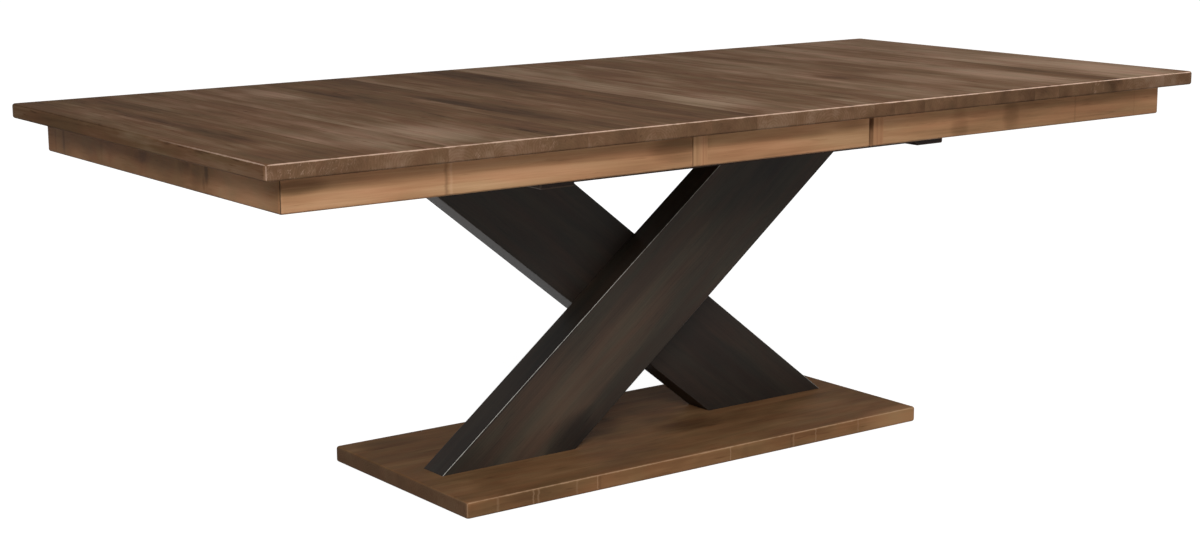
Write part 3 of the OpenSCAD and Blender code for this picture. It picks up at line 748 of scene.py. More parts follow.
TOP_STAIN = Stain(
    name="top_stain", dark=(57, 41, 30), base=(110, 84, 63), light=(164, 139, 119), end=(238, 236, 236),
    warm=(255, 243, 238), cool=(249, 251, 243), worn=(200, 170, 150), blotch=(290.0, 62.0),
    streak=(420.0, 17.0), warp=0.3, boards=0.75, clouds=0.85, streaks=0.5, rings=0.07, end_rings=0.10,
    fibre=0.18, wear=0.85, wear_width=1.3, rough=0.66, gloss=0.012, relief=0.06, scratches=0.22)
APRON_STAIN = Stain(
    name="apron_stain", dark=(120, 88, 62), base=(165, 125, 92), light=(196, 156, 121), worn=(208, 174, 142),
    warm=(255, 246, 242), cool=(248, 251, 246), blotch=(420.0, 60.0), streak=(500.0, 12.0), warp=0.1,
    taper=0.012, boards=0.2, clouds=0.7, rings=0.10, fibre=0.2, flecks=0.2, wear=0.2, wear_width=2.0,
    rough=0.58, gloss=0.08)
END_APRON_STAIN = replace(
    APRON_STAIN, name="end_apron_stain", dark=(96, 68, 46), base=(142, 105, 74), light=(184, 144, 110),
    worn=(196, 162, 130), warm=(255, 244, 238), blotch=(110.0, 90.0), streak=(260.0, 30.0), warp=0.6,
    taper=0.02, boards=0.3, clouds=0.85, streaks=0.5, rings=0.08, flecks=0.3)
PLINTH_STAIN = Stain(
    name="plinth_stain", dark=(80, 57, 39), base=(122, 91, 64), light=(156, 120, 88), worn=(190, 156, 124),
    end=(216, 221, 236), warm=(255, 243, 234), cool=(249, 251, 243), blotch=(210.0, 70.0),
    streak=(360.0, 20.0), warp=0.3, boards=0.3, clouds=0.95, streaks=0.45, rings=0.06, fibre=0.18,
    flecks=0.3, wear=0.5, wear_width=1.4, rough=0.62, gloss=0.03)
PLANK_STAIN = Stain(
    name="plank_stain", dark=(32, 28, 26), base=(54, 47, 41), light=(84, 71, 60), warm=(255, 238, 230),
    cool=(240, 246, 240), worn=(190, 187, 180), blotch=(380.0, 70.0), streak=(460.0, 22.0), warp=0.3,
    taper=0.01, boards=0.2, clouds=0.7, streaks=0.45, rings=0.04, fibre=0.22, flecks=0.2, wear=0.75,
    wear_width=0.65, gloss=0.12, relief=0.10)
# Painted shade: a darker copy of the plank stain for the back plank, which stands in the table top's shadow.
SHADED_BACK_PLANK_STAIN = replace(
    PLANK_STAIN, name="back_plank_stain", dark=(26, 24, 22), base=(40, 35, 32), light=(60, 50, 43))
FRAME_STAIN = Stain(
    name="frame_stain", dark=(24, 17, 13), base=(42, 31, 25), light=(62, 48, 38), worn=(110, 92, 78),
    boards=0.2, clouds=0.9, streaks=0.7, rings=0.15, wear=0.5, rough=0.55, gloss=0.12)
BARE_MAPLE = Stain(
    name="bare_maple", dark=(168, 132, 92), base=(202, 170, 128), light=(224, 198, 160), worn=(232, 212, 180),
    boards=0.3, clouds=0.7, streaks=0.7, rings=0.3, end_rings=0.6, fibre=0.3, wear=0.35, gloss=0.25)
ZINC = Metal("zinc_plate", (196, 198, 202), (142, 144, 148))
TOOL_STEEL = Metal("cut_steel", (158, 160, 164), (104, 105, 108), rough=0.38, spangle=6.0)
BRASS = Metal("brass_plate", (214, 178, 104), (160, 124, 66), rough=0.3, spangle=8.0)
NYLON = Plastic("dark_nylon", (46, 46, 48), (104, 104, 106))

HALVES = ("right", "left")
WHOLE_TOP = ("right", "left", "leaf")
FRONT_BACK = ("front", "back")
UNWORN = (900.0, 900.0, 900.0)  # half of a box so large that nothing in it is worn


def each(sides: Sequence[str], *pieces: str) -> list[str]:
    """Names these pieces on each side or part of the table."""
    return [f"{side}_{piece}" for side in sides for piece in pieces]


def dress(nodes: Sequence[str], material: Material) -> None:
    """Puts one material on carried-over pieces.

    Args:
        nodes: Names of the pieces.
        material: The material.
    """
    for name in nodes:
        piece = frame["nodes"][name]
        if not piece.material_slots:
            piece.data.materials.append(material)
        for slot in piece.material_slots:
            slot.material = material
        LOG.info("%s: %s", name, material.name)


@dataclass
class TableTop:
    """The boards of both halves and of the leaf, glued side by side and running across the table.

    Attributes:
        size: Length, depth and thickness in millimetres.
        height: Height of the upper face in millimetres.
        boards: Start of each board along the table and its tone.
        tone_and_light_spots: Soft dark and light places of the upper face and its edges; partly the boards' own
            tone, partly painted shade and painted light.
    """

    size: Triple = (2286.0, 1067.0, 29.0)
    height: float = 768.0
    boards: Rows = (
        (-1143, 0.46), (-1056, 0.36), (-958, 0.52), (-804, 0.62), (-714, 0.54), (-650, 0.46), (-592, 0.36),
        (-515, 0.54), (-478, 0.33), (-404, 0.50), (-300, 0.40), (-229, 0.27), (-126, 0.70), (-40, 0.66),
        (27, 0.57), (120, 0.53), (177, 0.47), (229, 0.50), (314, 0.66), (406, 0.60), (528, 0.57),
        (628, 0.63), (708, 0.70), (814, 0.55), (907, 0.80), (1044, 0.72))
    # Painted light and shade mixed with the boards' own blotches: the light places at the left end and at the
    # front right stand in for lamp light and sheen, and the dark strips along the right half of the front edge
    # are painted shade.
    tone_and_light_spots: Rows = (
        (-443, -150, 45, 330, 0.12), (-170, 280, 50, 200, 0.18), (-1040, -180, 32, 150, 0.26),
        (-564, 290, 38, 120, 0.16), (514, 263, 34, 130, 0.24), (650, 50, 26, 130, 0.26),
        (436, -128, 24, 60, 0.2), (200, -405, 16, 80, 0.3), (71, -424, 30, 80, 0.18),
        (872, -370, 54, 200, 0.13), (1050, -320, 84, 330, -0.24), (640, -546, 560, 16, 0.22),
        (-850, -340, 260, 150, -0.2), (-1143, -330, 34, 190, -0.12), (640, -541, 560, 18, 0.3),
        (-664, 340, 52, 130, -0.26), (-32, -306, 70, 140, -0.18), (-720, -380, 60, 130, -0.14),
        (760, -300, 70, 200, -0.25), (560, -250, 60, 160, -0.2))

    def dress(self) -> None:
        """Stains the boards."""
        length, depth, thick = self.size
        # The back and lower arrises of the top get painted shade (values below 0).
        board = Board("boards", Lay.TOP, (0.0, 0.0, self.height - thick / 2),
                      (length / 2, depth / 2, thick / 2), joints=self.boards, tone_and_light_spots=self.tone_and_light_spots,
                      rounding=(9.0, 5.0), wear_ends=(0.9, 1.25), back_wear_and_shade=-0.5, lower_wear_and_shade=-0.35)
        dress(each(WHOLE_TOP, "top"), TOP_STAIN.material(board))


@dataclass
class Aprons:
    """The aprons under the top, their upright blocks, and the cleats and corner blocks behind them.

    Attributes:
        half: Half the length and depth over the aprons, and a height that keeps the wear off their tops.
        bottom: Height of the lower arris in millimetres.
        rounding: Radius of the corners and of the lower arris, as the finish takes them.
        inner: Half the length and depth of the room behind the aprons.
        top: Height of the underside of the table top.
        cleat: Half the height of a cleat.
        block: Half the height of a corner block.
        marks: Upright lines on the long aprons.
        tone_and_light_spots: Soft dark and light places of the long aprons; partly figure, partly painted shade
            and painted light.
        end_tone_and_light_spots: The same for the end aprons.
    """

    half: Triple = (1092.0, 482.5, 115.0)
    bottom: float = 674.0
    rounding: Pair = (6.0, 4.5)
    inner: Pair = (1070.0, 460.5)
    top: float = 739.0
    cleat: float = 15.0
    block: float = 24.0
    marks: Rows = ((-772, 6, -0.6), (-762, 5, 0.2), (819, 4.5, -0.45), (640, 14, -0.25), (1010, 3, -0.3))
    # Painted light and shade mixed with the figure: the dark wedge at -262 and the darkening over the right
    # part are painted shade, and the light places on the left are painted light.
    tone_and_light_spots: Rows = (
        (-262, -74, 70, 30, 0.4), (-1060, -72, 60, 14, 0.3), (-20, -78, 150, 10, 0.25),
        (30, -106, 120, 10, 0.22), (170, -68, 50, 16, 0.3), (-640, -98, 240, 20, -0.25),
        (-960, -96, 110, 22, -0.15), (470, -90, 26, 40, 0.22), (620, -84, 24, 36, 0.25),
        (820, -84, 420, 80, 0.22))
    # The light place near the front corner (-340) is painted light.
    end_tone_and_light_spots: Rows = (
        (-218, -78, 9, 26, 0.5), (-206, -96, 6, 16, 0.3), (222, -84, 7, 34, 0.1), (-130, -72, 26, 26, 0.3),
        (-176, -92, 24, 30, 0.2), (-340, -92, 130, 50, -0.5), (60, -76, 60, 14, 0.35),
        (180, -96, 60, 20, -0.2), (400, -88, 7, 34, 0.3), (440, -88, 5, 34, 0.25))

    def dress(self) -> None:
        """Stains the aprons and leaves the cleats and corner blocks bare."""
        # The lower arrises of the aprons and blocks get painted shade (values below 0).
        upright = Board("block", Lay.UPRIGHT, (0.0, 0.0, self.bottom + self.half[2]), self.half,
                        rounding=self.rounding, lower_wear_and_shade=-0.4)
        front = replace(upright, name="long", lay=Lay.ON_EDGE, corner=0.8, marks=self.marks, tone_and_light_spots=self.tone_and_light_spots)
        ends = replace(upright, name="end", lay=Lay.END_ON_EDGE, corner=0.8, lower_wear_and_shade=-0.5,
                       tone_and_light_spots=self.end_tone_and_light_spots)
        dress(each(WHOLE_TOP, "front_apron", "back_apron"), APRON_STAIN.material(front))
        dress(each(HALVES, "end_apron"), END_APRON_STAIN.material(ends))
        dress([*each(HALVES, "apron_block"), "leaf_apron_blocks"], APRON_STAIN.material(upright))
        for name, lay, tall, nodes in (("cleat", Lay.FLAT, self.cleat, each(WHOLE_TOP, "cleats")),
                                       ("corner", Lay.UPRIGHT, self.block, each(HALVES, "corner_blocks"))):
            bare = Board(name, lay, (0.0, 0.0, self.top - tall), (*self.inner, tall))
            dress(nodes, BARE_MAPLE.material(bare))


@dataclass
class Plinth:
    """The board on the floor and the glides under it.

    Attributes:
        size: Length, depth and thickness in millimetres.
        lift: Height of its underside above the floor.
        joints: Start of each glued board across the plinth and its tone.
        marks: Upright lines on its long edges.
        tone_and_light_spots: Soft dark and light places of the upper face and front; partly the board's own
            tone, partly painted shadow of the planks, painted shade and painted light.
    """

    size: Triple = (1188.0, 505.0, 33.0)
    lift: float = 1.5
    joints: Rows = ((-252.5, 0.58), (-148, 0.46), (-36, 0.52), (70, 0.42), (170, 0.5))
    marks: Rows = (
        (-523, 5, 0.14), (-440, 3, 0.26), (-428, 4, 0.2), (-335, 4, 0.12), (-285, 2, 0.3), (-279, 5, -0.3),
        (59, 2, 0.3), (100, 14, -0.15), (226, 2.5, -0.45), (233, 3, 0.2), (297, 2.5, 0.25), (420, 3, 0.15))
    # Painted light and shade mixed with the board's own tone: the dark places near the middle, by the planks'
    # feet, are painted shadow of the planks, the dark places at the left front (-500) are painted shade, and
    # the light place at the right front (560) is painted light.
    tone_and_light_spots: Rows = (
        (-40, 92, 100, 60, 0.45), (-80, -20, 100, 50, 0.28), (100, 30, 90, 70, 0.15),
        (-500, -200, 46, 50, 0.15), (-500, -256, 160, 12, 0.18), (430, -110, 90, 60, -0.25),
        (-330, -170, 120, 60, -0.18), (20, 90, 40, 40, -0.35), (-500, 190, 80, 50, 0.15),
        (95, -42, 95, 70, 0.42), (560, -250, 130, 34, -0.5))

    def dress(self) -> None:
        """Stains the plinth and finishes its glides."""
        length, depth, thick = self.size
        # The back and lower arrises of the plinth get painted shade (values below 0).
        board = Board("board", Lay.FLAT, (0.0, 0.0, self.lift + thick / 2),
                      (length / 2, depth / 2, thick / 2), joints=self.joints, marks=self.marks,
                      tone_and_light_spots=self.tone_and_light_spots, rounding=(8.0, 5.0), back_wear_and_shade=-0.3, lower_wear_and_shade=-0.25, end_wear=0.15)
        dress(("plinth",), PLINTH_STAIN.material(board))
        dress(("floor_glides",), NYLON.material())


@dataclass
class CrossedPlanks:
    """The two sloping planks.

    Attributes:
        slope: Angle of the planks in degrees.
        middle: Middle of the front plank in millimetres; the back one mirrors it.
        half: Half the thickness and width, and a length that keeps the wear off the sawn ends.
        crossing: Height at which the planks cross.
        tone_and_light_spots: Painted light and painted shade on the front plank.
    """

    slope: float = 38.26
    middle: Triple = (18.0, -36.0, 341.25)
    half: Triple = (900.0, 36.0, 101.5)
    crossing: float = 327.0
    # Painted light and shade on the front plank: lighter towards the foot, and darker near the head under the
    # table top, at the foot's lower corner and along the lower half of its upper narrow face.
    tone_and_light_spots: Rows = (
        (-400, 20, 150, 170, -0.2), (-220, 0, 260, 60, -0.3), (-370, -72, 80, 42, 0.45),
        (-400, 105, 300, 8, 0.6), (330, 40, 160, 60, 0.35), (420, -40, 140, 70, 0.3))

    def dress(self) -> None:
        """Stains both planks along their own slope."""
        x, y, z = self.middle
        front = Board("front", Lay.ON_EDGE, self.middle, self.half, (0.0, -self.slope, 0.0), tone_and_light_spots=self.tone_and_light_spots,
                      rounding=(2.5, 2.5), lower_wear_and_shade=0.15)
        back = replace(front, name="back", centre=(-x, -y, z), turn=(0.0, -self.slope, 180.0), tone_and_light_spots=(),
                       lower_wear_and_shade=0.1)
        dress(("front_cross_plank",), PLANK_STAIN.material(front))
        # The back plank takes the darker copy of the stain as painted shade.
        dress(("back_cross_plank",), SHADED_BACK_PLANK_STAIN.material(back))
        dowel = Board("dowel", Lay.END_ON_EDGE, (0.0, 0.0, self.crossing), UNWORN)
        dress(("crossing_dowels",), BARE_MAPLE.material(dowel))


@dataclass
class Subframe:
    """The bolsters, side rails and spine that carry the slides.

    Attributes:
        bolster: Half size of the box round the bolsters in millimetres.
        rail: The same for the side rails and spine between them.
        level: Middle height of them all.
    """

    bolster: Triple = (513.0, 392.0, 24.0)
    rail: Triple = (437.0, 392.0, 24.0)
    level: float = 672.0

    def dress(self) -> None:
        """Stains the subframe and leaves its dowels bare."""
        rails = [*each(FRONT_BACK, "side_rail"), "centre_spine"]
        for name, lay, half, stain, nodes in (
                ("bolster", Lay.TOP, self.bolster, FRAME_STAIN, each(HALVES, "bolster")),
                ("rail", Lay.ON_EDGE, self.rail, FRAME_STAIN, rails),
                ("peg", Lay.FLAT, UNWORN, BARE_MAPLE, ["subframe_dowels"])):
            dress(nodes, stain.material(Board(name, lay, (0.0, 0.0, self.level), half)))


@dataclass
class GearedSlides:
    """The fixed and moving members of the slides, their racks, pinions and axles.

    Attributes:
        level: Middle height of the slides in millimetres.
        half: Half size of the box round them.
    """

    level: float = 717.5
    half: Triple = (1200.0, 600.0, 60.0)

    def dress(self) -> None:
        """Leaves the wooden members bare and finishes the gears."""
        member = Board("member", Lay.ON_EDGE, (0.0, 0.0, self.level), self.half)
        dress([*each(FRONT_BACK, "fixed_slide"), *each(HALVES, "front_rail", "back_rail")],
              BARE_MAPLE.material(member))
        dress([*each(FRONT_BACK, "pinion"), *each(HALVES, "racks"), "pinion_axles"], TOOL_STEEL.material())


@dataclass
class LeafLocks:
    """The lock plates, keepers and levers, and the pins that line the leaf up.

    Attributes:
        level: Middle height of the pins in millimetres.
    """

    level: float = 753.5

    def dress(self) -> None:
        """Finishes the locks and leaves the pins bare."""
        dress([*each(HALVES, "lock_plates", "front_lever", "back_lever"), "leaf_lock_keepers"],
              BRASS.material())
        pin = Board("pin", Lay.FLAT, (0.0, 0.0, self.level), UNWORN)
        dress(each(HALVES, "align_pins"), BARE_MAPLE.material(pin))


def hang(name: str, data: bpy.types.ID) -> Piece:
    """Puts a lamp, camera or mesh into the scene.

    Args:
        name: Name of the new object.
        data: What it shows.

    Returns:
        The object.
    """
    made = bpy.data.objects.new(name, data)
    bpy.context.scene.collection.objects.link(made)
    return made


def only(*pieces: Piece) -> None:
    """Selects these pieces alone; the first becomes the active one.

    Args:
        pieces: The pieces.
    """
    bpy.ops.object.select_all(action="DESELECT")
    for piece in pieces:
        piece.select_set(True)
    bpy.context.view_layer.objects.active = pieces[0]


def cylinder(sides: int, radius: float, depth: float, bottom: float = 0.0) -> Piece:
    """Adds an upright cylinder or prism on the Z axis.

    Args:
        sides: Number of its sides.
        radius: Radius in metres.
        depth: Height.
        bottom: Where it starts.

    Returns:
        The cylinder.
    """
    bpy.ops.object.select_all(action="DESELECT")
    bpy.ops.mesh.primitive_cylinder_add(vertices=sides, radius=radius, depth=depth,
                                        location=(0, 0, bottom + depth / 2))
    return bpy.context.active_object


def edit(piece: Piece, faces: Optional[Callable[[bpy.types.MeshPolygon], bool]] = None,
         corners: Optional[Callable[[bpy.types.MeshVertex], bool]] = None) -> None:
    """Opens a piece in edit mode with some of its faces or corners selected.

    Args:
        piece: The piece.
        faces: Tells whether a face is selected.
        corners: Tells whether a corner is selected.
    """
    only(piece)
    mesh = piece.data
    for group in (mesh.vertices, mesh.edges, mesh.polygons):
        group.foreach_set("select", [False] * len(group))
    for group, wanted in ((mesh.polygons, faces), (mesh.vertices, corners)):
        for part in group if wanted else ():
            part.select = wanted(part)
    bpy.ops.object.mode_set(mode="EDIT")
    bpy.ops.mesh.select_mode(type="FACE" if faces else "VERT")


def close_edit() -> None:
    """Leaves edit mode."""
    bpy.ops.object.mode_set(mode="OBJECT")


def modified(piece: Piece, kind: str, **settings: object) -> None:
    """Adds a modifier to a piece and applies it.

    Args:
        piece: The piece.
        kind: Blender's name of the modifier.
        settings: Its properties.
    """
    only(piece)
    added = piece.modifiers.new(kind.lower(), kind)
    for key, value in settings.items():
        setattr(added, key, value)
    bpy.ops.object.modifier_apply(modifier=added.name)


def cut_by(piece: Piece, tool: Piece, operation: str = "DIFFERENCE") -> None:
    """Cuts a piece with another solid, which is then thrown away, in the way that Blender names."""
    modified(piece, "BOOLEAN", object=tool, operation=operation, solver="EXACT")
    bpy.data.objects.remove(tool)


def grow_face(rise: float, scale: float = 1.0) -> None:
    """Extrudes the selected face up and scales it.

    Args:
        rise: Distance in metres.
        scale: Factor across.
    """
    bpy.ops.mesh.extrude_region_move(TRANSFORM_OT_translate={"value": (0.0, 0.0, rise)})
    if scale != 1.0:
        bpy.ops.transform.resize(value=(scale, scale, 1.0))


class Head(Enum):
    """Which way the heads of a group of fasteners point."""

    DOWN = 1
    UP = -1


@dataclass(frozen=True)
class Island:
    """The box that one separate solid of a carried-over piece fills.

    Attributes:
        low: Lowest corner.
        high: Highest corner.
    """

    low: Vector
    high: Vector

    @property
    def middle(self) -> Vector:
        """Middle of the box."""
        return (self.low + self.high) / 2

    @property
    def size(self) -> Vector:
        """Size of the box."""
        return self.high - self.low


def islands(node: str) -> list[Island]:
    """Finds the separate solids of a carried-over piece.

    Args:
        node: Name of the piece.

    Returns:
        One box for each solid.
    """
    work = bmesh.new()
    work.from_mesh(frame["nodes"][node].data)
    bmesh.ops.remove_doubles(work, verts=work.verts, dist=1e-6)
    seen: set[bmesh.types.BMVert] = set()
    found = []
    for first in work.verts:
        if first in seen:
            continue
        seen.add(first)
        front, members = [first], []
        while front:
            vertex = front.pop()
            members.append(vertex.co)
            near = {edge.other_vert(vertex) for edge in vertex.link_edges} - seen
            seen |= near
            front.extend(near)
        found.append(Island(Vector([min(part[axis] for part in members) for axis in range(3)]),
                            Vector([max(part[axis] for part in members) for axis in range(3)])))
    work.free()
    return sorted(found, key=lambda box: (round(box.low.x, 4), round(box.low.y, 4)))


@dataclass
class Fasteners:
    """Countersunk wood screws with a cross recess, and hexagon lag bolts with washers.

    Attributes:
        groups: Each carried-over group and the way its heads point.
        shank: Diameter of a wood screw in millimetres.
        head: Diameter of its head.
        rim: Height of its head's straight rim, and width of the bevel under it.
        recess: Length, width and depth of an arm of the recess.
        bolt: Diameter of a lag bolt.
        hexagon: Height of a bolt's head.
        washer: Thickness of a washer.
        turn: Turn of each fastener from the one before it, in degrees.
        models: The models made so far, by kind and length.
    """

    groups: tuple[tuple[str, Head], ...] = (
        ("foot_bolts", Head.DOWN), ("head_bolts", Head.UP), ("fixed_slide_screws", Head.UP),
        ("right_cleat_screws", Head.DOWN), ("right_rail_screws", Head.DOWN), ("left_cleat_screws", Head.DOWN),
        ("left_rail_screws", Head.DOWN), ("leaf_cleat_screws", Head.DOWN))
    shank: float = 5.0
    head: float = 10.0
    rim: Pair = (0.3, 0.15)
    recess: Triple = (4.8, 1.1, 1.9)
    bolt: float = 10.0
    hexagon: float = 6.4
    washer: float = 2.0
    turn: float = 37.0
    models: dict[tuple[str, float], Piece] = field(default_factory=dict)

    def wood_screw(self, length: float) -> Piece:
        """Models a wood screw, head down, from the origin up.

        Args:
            length: Its length in metres.

        Returns:
            The screw.
        """
        shank, head, (rim, bevel) = self.shank * MM, self.head * MM, (part * MM for part in self.rim)
        sink = (head - shank) / 2
        screw = cylinder(24, head / 2, rim)
        edit(screw, lambda face: face.normal.z > 0.9)
        grow_face(sink - rim, shank / head)
        grow_face(length - sink - shank)
        grow_face(shank, 0.2)
        close_edit()
        edit(screw, lambda face: face.normal.z < -0.9)
        bpy.ops.mesh.bevel(offset=bevel, segments=1, affect="EDGES")
        close_edit()
        for turn in (0.0, math.pi / 2):
            cut_by(screw, self._arm(turn))
        return screw

    def _arm(self, turn: float) -> Piece:
        """Models the cutter for one arm of the cross recess.

        Args:
            turn: Its turn about the screw in radians.

        Returns:
            The cutter.
        """
        long, wide, deep = (part * MM for part in self.recess)
        bpy.ops.object.select_all(action="DESELECT")
        bpy.ops.mesh.primitive_cube_add(size=1.0, scale=(long, wide, 2 * deep), rotation=(0, 0, turn))
        arm = bpy.context.active_object
        only(arm)
        bpy.ops.object.transform_apply(location=True, rotation=True, scale=True)
        edit(arm, lambda face: face.normal.z > 0.9)
        bpy.ops.transform.resize(value=(0.35, 0.35, 1.0))
        close_edit()
        return arm

    def lag_bolt(self, length: float) -> Piece:
        """Models a lag bolt with its washer, head down, from the origin up.

        Args:
            length: Its whole length in metres.

        Returns:
            The bolt.
        """
        hexagon, washer, bolt, sliver = (part * MM for part in (self.hexagon, self.washer, self.bolt, 0.001))
        across = 0.95 * bolt
        head = cylinder(6, across, hexagon)
        dome = cylinder(48, across, 2 * hexagon)
        edit(dome, lambda face: face.normal.z < -0.9)
        bpy.ops.mesh.inset(thickness=0.17 * across)
        bpy.ops.transform.translate(value=(0.0, 0.0, -sliver))
        close_edit()
        edit(dome, corners=lambda corner: (corner.co.z + dome.location.z < 10 * sliver
                                           and corner.co.xy.length > 0.95 * across))
        bpy.ops.transform.translate(value=(0.0, 0.0, 0.1 * across))
        close_edit()
        cut_by(head, dome, "INTERSECT")

        disc = cylinder(40, 1.1 * bolt, washer, hexagon)
        modified(disc, "BEVEL", width=0.35 * MM, segments=2, limit_method="ANGLE")

        shank = length - hexagon - washer
        stem = cylinder(24, bolt / 2, 0.7 * shank, hexagon + washer)
        edit(stem, lambda face: face.normal.z > 0.9)
        grow_face(sliver, 0.86)
        grow_face(0.3 * shank - bolt)
        grow_face(bolt, 0.2)
        close_edit()
        only(head, disc, stem)
        bpy.ops.object.join()
        return head

    def model(self, box: Island) -> Piece:
        """Gives the model for one place, made once for each length.

        Args:
            box: The box of the carried-over solid.

        Returns:
            The model.
        """
        kind = "bolt" if box.size.x > 1.5 * self.head * MM else "screw"
        key = (kind, round(box.size.z, 5))
        if key not in self.models:
            made = self.lag_bolt(key[1]) if kind == "bolt" else self.wood_screw(key[1])
            only(made)
            bpy.ops.object.transform_apply(location=True, rotation=True, scale=True)
            bpy.ops.object.shade_smooth_by_angle(angle=math.radians(35))
            self.models[key] = made
        return self.models[key]

    def build(self) -> None:
        """Sets a fastener in each place of each group, plates it and puts the models away."""
        plate = ZINC.material()
        for node, way in self.groups:
            pieces = []
            for count, box in enumerate(islands(node)):
                piece = hang(node, self.model(box).data.copy())
                end = box.low.z if way is Head.DOWN else box.high.z
                place = Matrix.Translation((box.middle.x, box.middle.y, end))
                turn = Matrix.Rotation(math.radians(self.turn * count), 4, "Z")
                flip = Matrix.Rotation(0.0 if way is Head.DOWN else math.pi, 4, "X")
                piece.data.transform(place @ flip @ turn)
                pieces.append(piece)
            only(*pieces)
            bpy.ops.object.join()
            whole = pieces[0]
            whole.name = whole.data.name = node + "_set"
            whole.data.materials.clear()
            whole.data.materials.append(plate)
            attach(whole, frame["nodes"][node]["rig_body"])
            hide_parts(node)
            dress((node,), plate)
            LOG.info("%s: %d pieces, %d faces", whole.name, len(pieces), len(whole.data.polygons))
        for made in self.models.values():
            bpy.data.objects.remove(made)


class Lamp(Enum):
    """The lamps: middle in metres, point aimed at, width, height and power."""

    KEY = ((-3.0, -3.85, 2.75), (-0.4, -0.4, 0.6), 2.8, 0.9, 170.0)
    OVERHEAD = ((1.5, -1.3, 2.8), (1.0, -0.7, 0.0), 2.6, 1.8, 32.0)
    LOW_FILL = ((0.5, -3.4, 0.4), (-0.1, -0.2, 0.0), 2.2, 0.5, 15.0)


@dataclass
class Studio:
    """The floor, the lamps and the surroundings.

    Attributes:
        surround: Strength of the soft light from the front and the sides.
        behind: Strength of the soft light from behind.
        turns: Place from front to back where the one starts to turn into the other, and where it has.
        floor_width: Width of the floor in metres.
        floor_lit: Colour of the floor for the light that it throws back.
        floor_seen: Colour of the floor for the camera, under a white glow.
        glow: Strength of that glow near the table and what it gains far away.
        white: Distance in metres at which the floor starts to turn white, and at which it is.
    """

    surround: float = 0.30
    behind: float = 0.19
    turns: Pair = (-0.3, 0.6)
    floor_width: float = 80.0
    floor_lit: Rgb = (190, 189, 187)
    floor_seen: Rgb = (150, 150, 150)
    glow: Pair = (0.95, 0.05)
    white: Pair = (1.0, 3.2)

    def build(self) -> None:
        """Makes the floor, the surroundings and the lamps."""
        self._floor()
        self._surroundings()
        for lamp in Lamp:
            self._lamp(lamp)

    def _floor(self) -> None:
        """Lays a plain pale floor that keeps the table's shadow."""
        bpy.ops.object.select_all(action="DESELECT")
        bpy.ops.mesh.primitive_plane_add(size=self.floor_width, location=(0.0, 0.0, 0.0))
        floor = bpy.context.active_object
        floor.name = "floor"
        graph = Graph(bpy.data.materials.new("floor_paint"))
        x, y, _ = graph.split(graph.result("TexCoord", output="Object"))
        far = graph.math("SQRT", x * x + y * y).rise(*self.white)
        seen = graph.seen()
        matt = graph.result("BsdfDiffuse", {"Color": graph.blend(seen, self.floor_lit, self.floor_seen)})
        white = graph.result("Emission", {"Strength": seen * (far * self.glow[1] + self.glow[0])})
        graph.node("OutputMaterial", {"Surface": graph.result("AddShader", {0: matt, 1: white})})
        floor.data.materials.append(graph.owner)
        LOG.info("floor: %s", graph.owner.name)

    def _surroundings(self) -> None:
        """Sets the soft light from all sides and the white that the camera sees."""
        graph = Graph(bpy.data.worlds.new("studio"))
        bpy.context.scene.world = graph.owner
        ahead = graph.split(graph.result("TexCoord", output="Generated"))[1]
        soft = graph.result("MapRange", dict(enumerate((ahead, *self.turns, self.surround, self.behind))))
        strength = graph.result("MapRange", {0: graph.seen(), 3: soft, 4: 1.0})
        graph.node("OutputWorld", {"Surface": graph.result("Background", {"Strength": strength})})

    def _lamp(self, lamp: Lamp) -> None:
        """Hangs one soft lamp.

        Args:
            lamp: Which lamp.
        """
        place, target, width, height, power = lamp.value
        data = bpy.data.lights.new(lamp.name.lower(), "AREA")
        data.shape = "RECTANGLE"
        data.size, data.size_y, data.energy = width, height, power
        made = hang(lamp.name.lower(), data)
        made.location = place
        made.rotation_euler = (Vector(target) - Vector(place)).to_track_quat("-Z", "Y").to_euler()
        LOG.info("lamp %s: %.0f W", made.name, power)


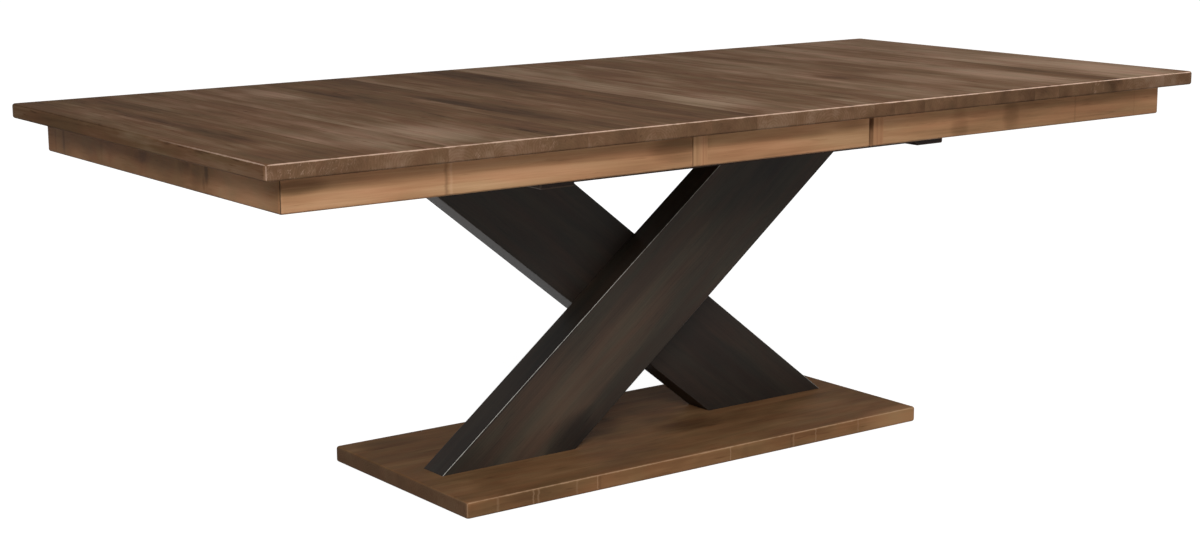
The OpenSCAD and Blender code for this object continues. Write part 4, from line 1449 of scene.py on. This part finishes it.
@dataclass(frozen=True)
class Eye:
    """The camera, as fitted to the photograph.

    Attributes:
        place: Its place in metres.
        yaw: Turn of the view from +Y towards +X, in degrees.
        pitch: Tilt above the level, in degrees.
        roll: Turn about the line of sight, in degrees.
        focal: Focal length in pixels of the picture.
        centre: Point of the picture on the line of sight, in pixels from the upper left corner.
        picture: Width and height of the picture in pixels.
        sensor: Width of the sensor in millimetres.
        reach: Distance in metres up to which the camera sees.
    """

    place: Triple = (-2.7325, -3.5885, 1.2656)
    yaw: float = 36.3745
    pitch: float = -11.3721
    roll: float = -0.282
    focal: float = 2162.04
    centre: Pair = (600.5, 278.5)
    picture: Pair = (1200.0, 557.0)
    sensor: float = 36.0
    reach: float = 200.0

    def build(self) -> None:
        """Makes the camera and sets it as the scene's."""
        yaw, pitch, roll = (math.radians(part) for part in (self.yaw, self.pitch, self.roll))
        ahead = Vector((math.sin(yaw) * math.cos(pitch), math.cos(yaw) * math.cos(pitch), math.sin(pitch)))
        side = ahead.cross(Vector((0.0, 0.0, 1.0))).normalized()
        up = side.cross(ahead)
        right = side * math.cos(roll) + up * math.sin(roll)
        above = up * math.cos(roll) - side * math.sin(roll)
        wide, tall = self.picture
        data = bpy.data.cameras.new("eye")
        data.sensor_width = self.sensor
        data.lens = self.focal * self.sensor / wide
        data.shift_x = (wide / 2 - self.centre[0]) / wide
        data.shift_y = (self.centre[1] - tall / 2) / wide
        data.clip_end = self.reach
        made = hang("eye", data)
        turn = Matrix((right, above, -ahead)).transposed().to_4x4()
        made.matrix_world = Matrix.Translation(self.place) @ turn
        bpy.context.scene.camera = made
        LOG.info("camera: %.2f mm", data.lens)


def main() -> None:
    """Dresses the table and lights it."""
    logging.basicConfig(level=logging.INFO, format="%(message)s")
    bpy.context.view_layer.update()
    for part in (TableTop(), Aprons(), Plinth(), CrossedPlanks(), Subframe(), GearedSlides(), LeafLocks()):
        part.dress()
    Fasteners().build()
    Studio().build()
    Eye().build()
    bpy.context.scene.view_settings.view_transform = "Standard"


if __name__ == "__main__":
    main()
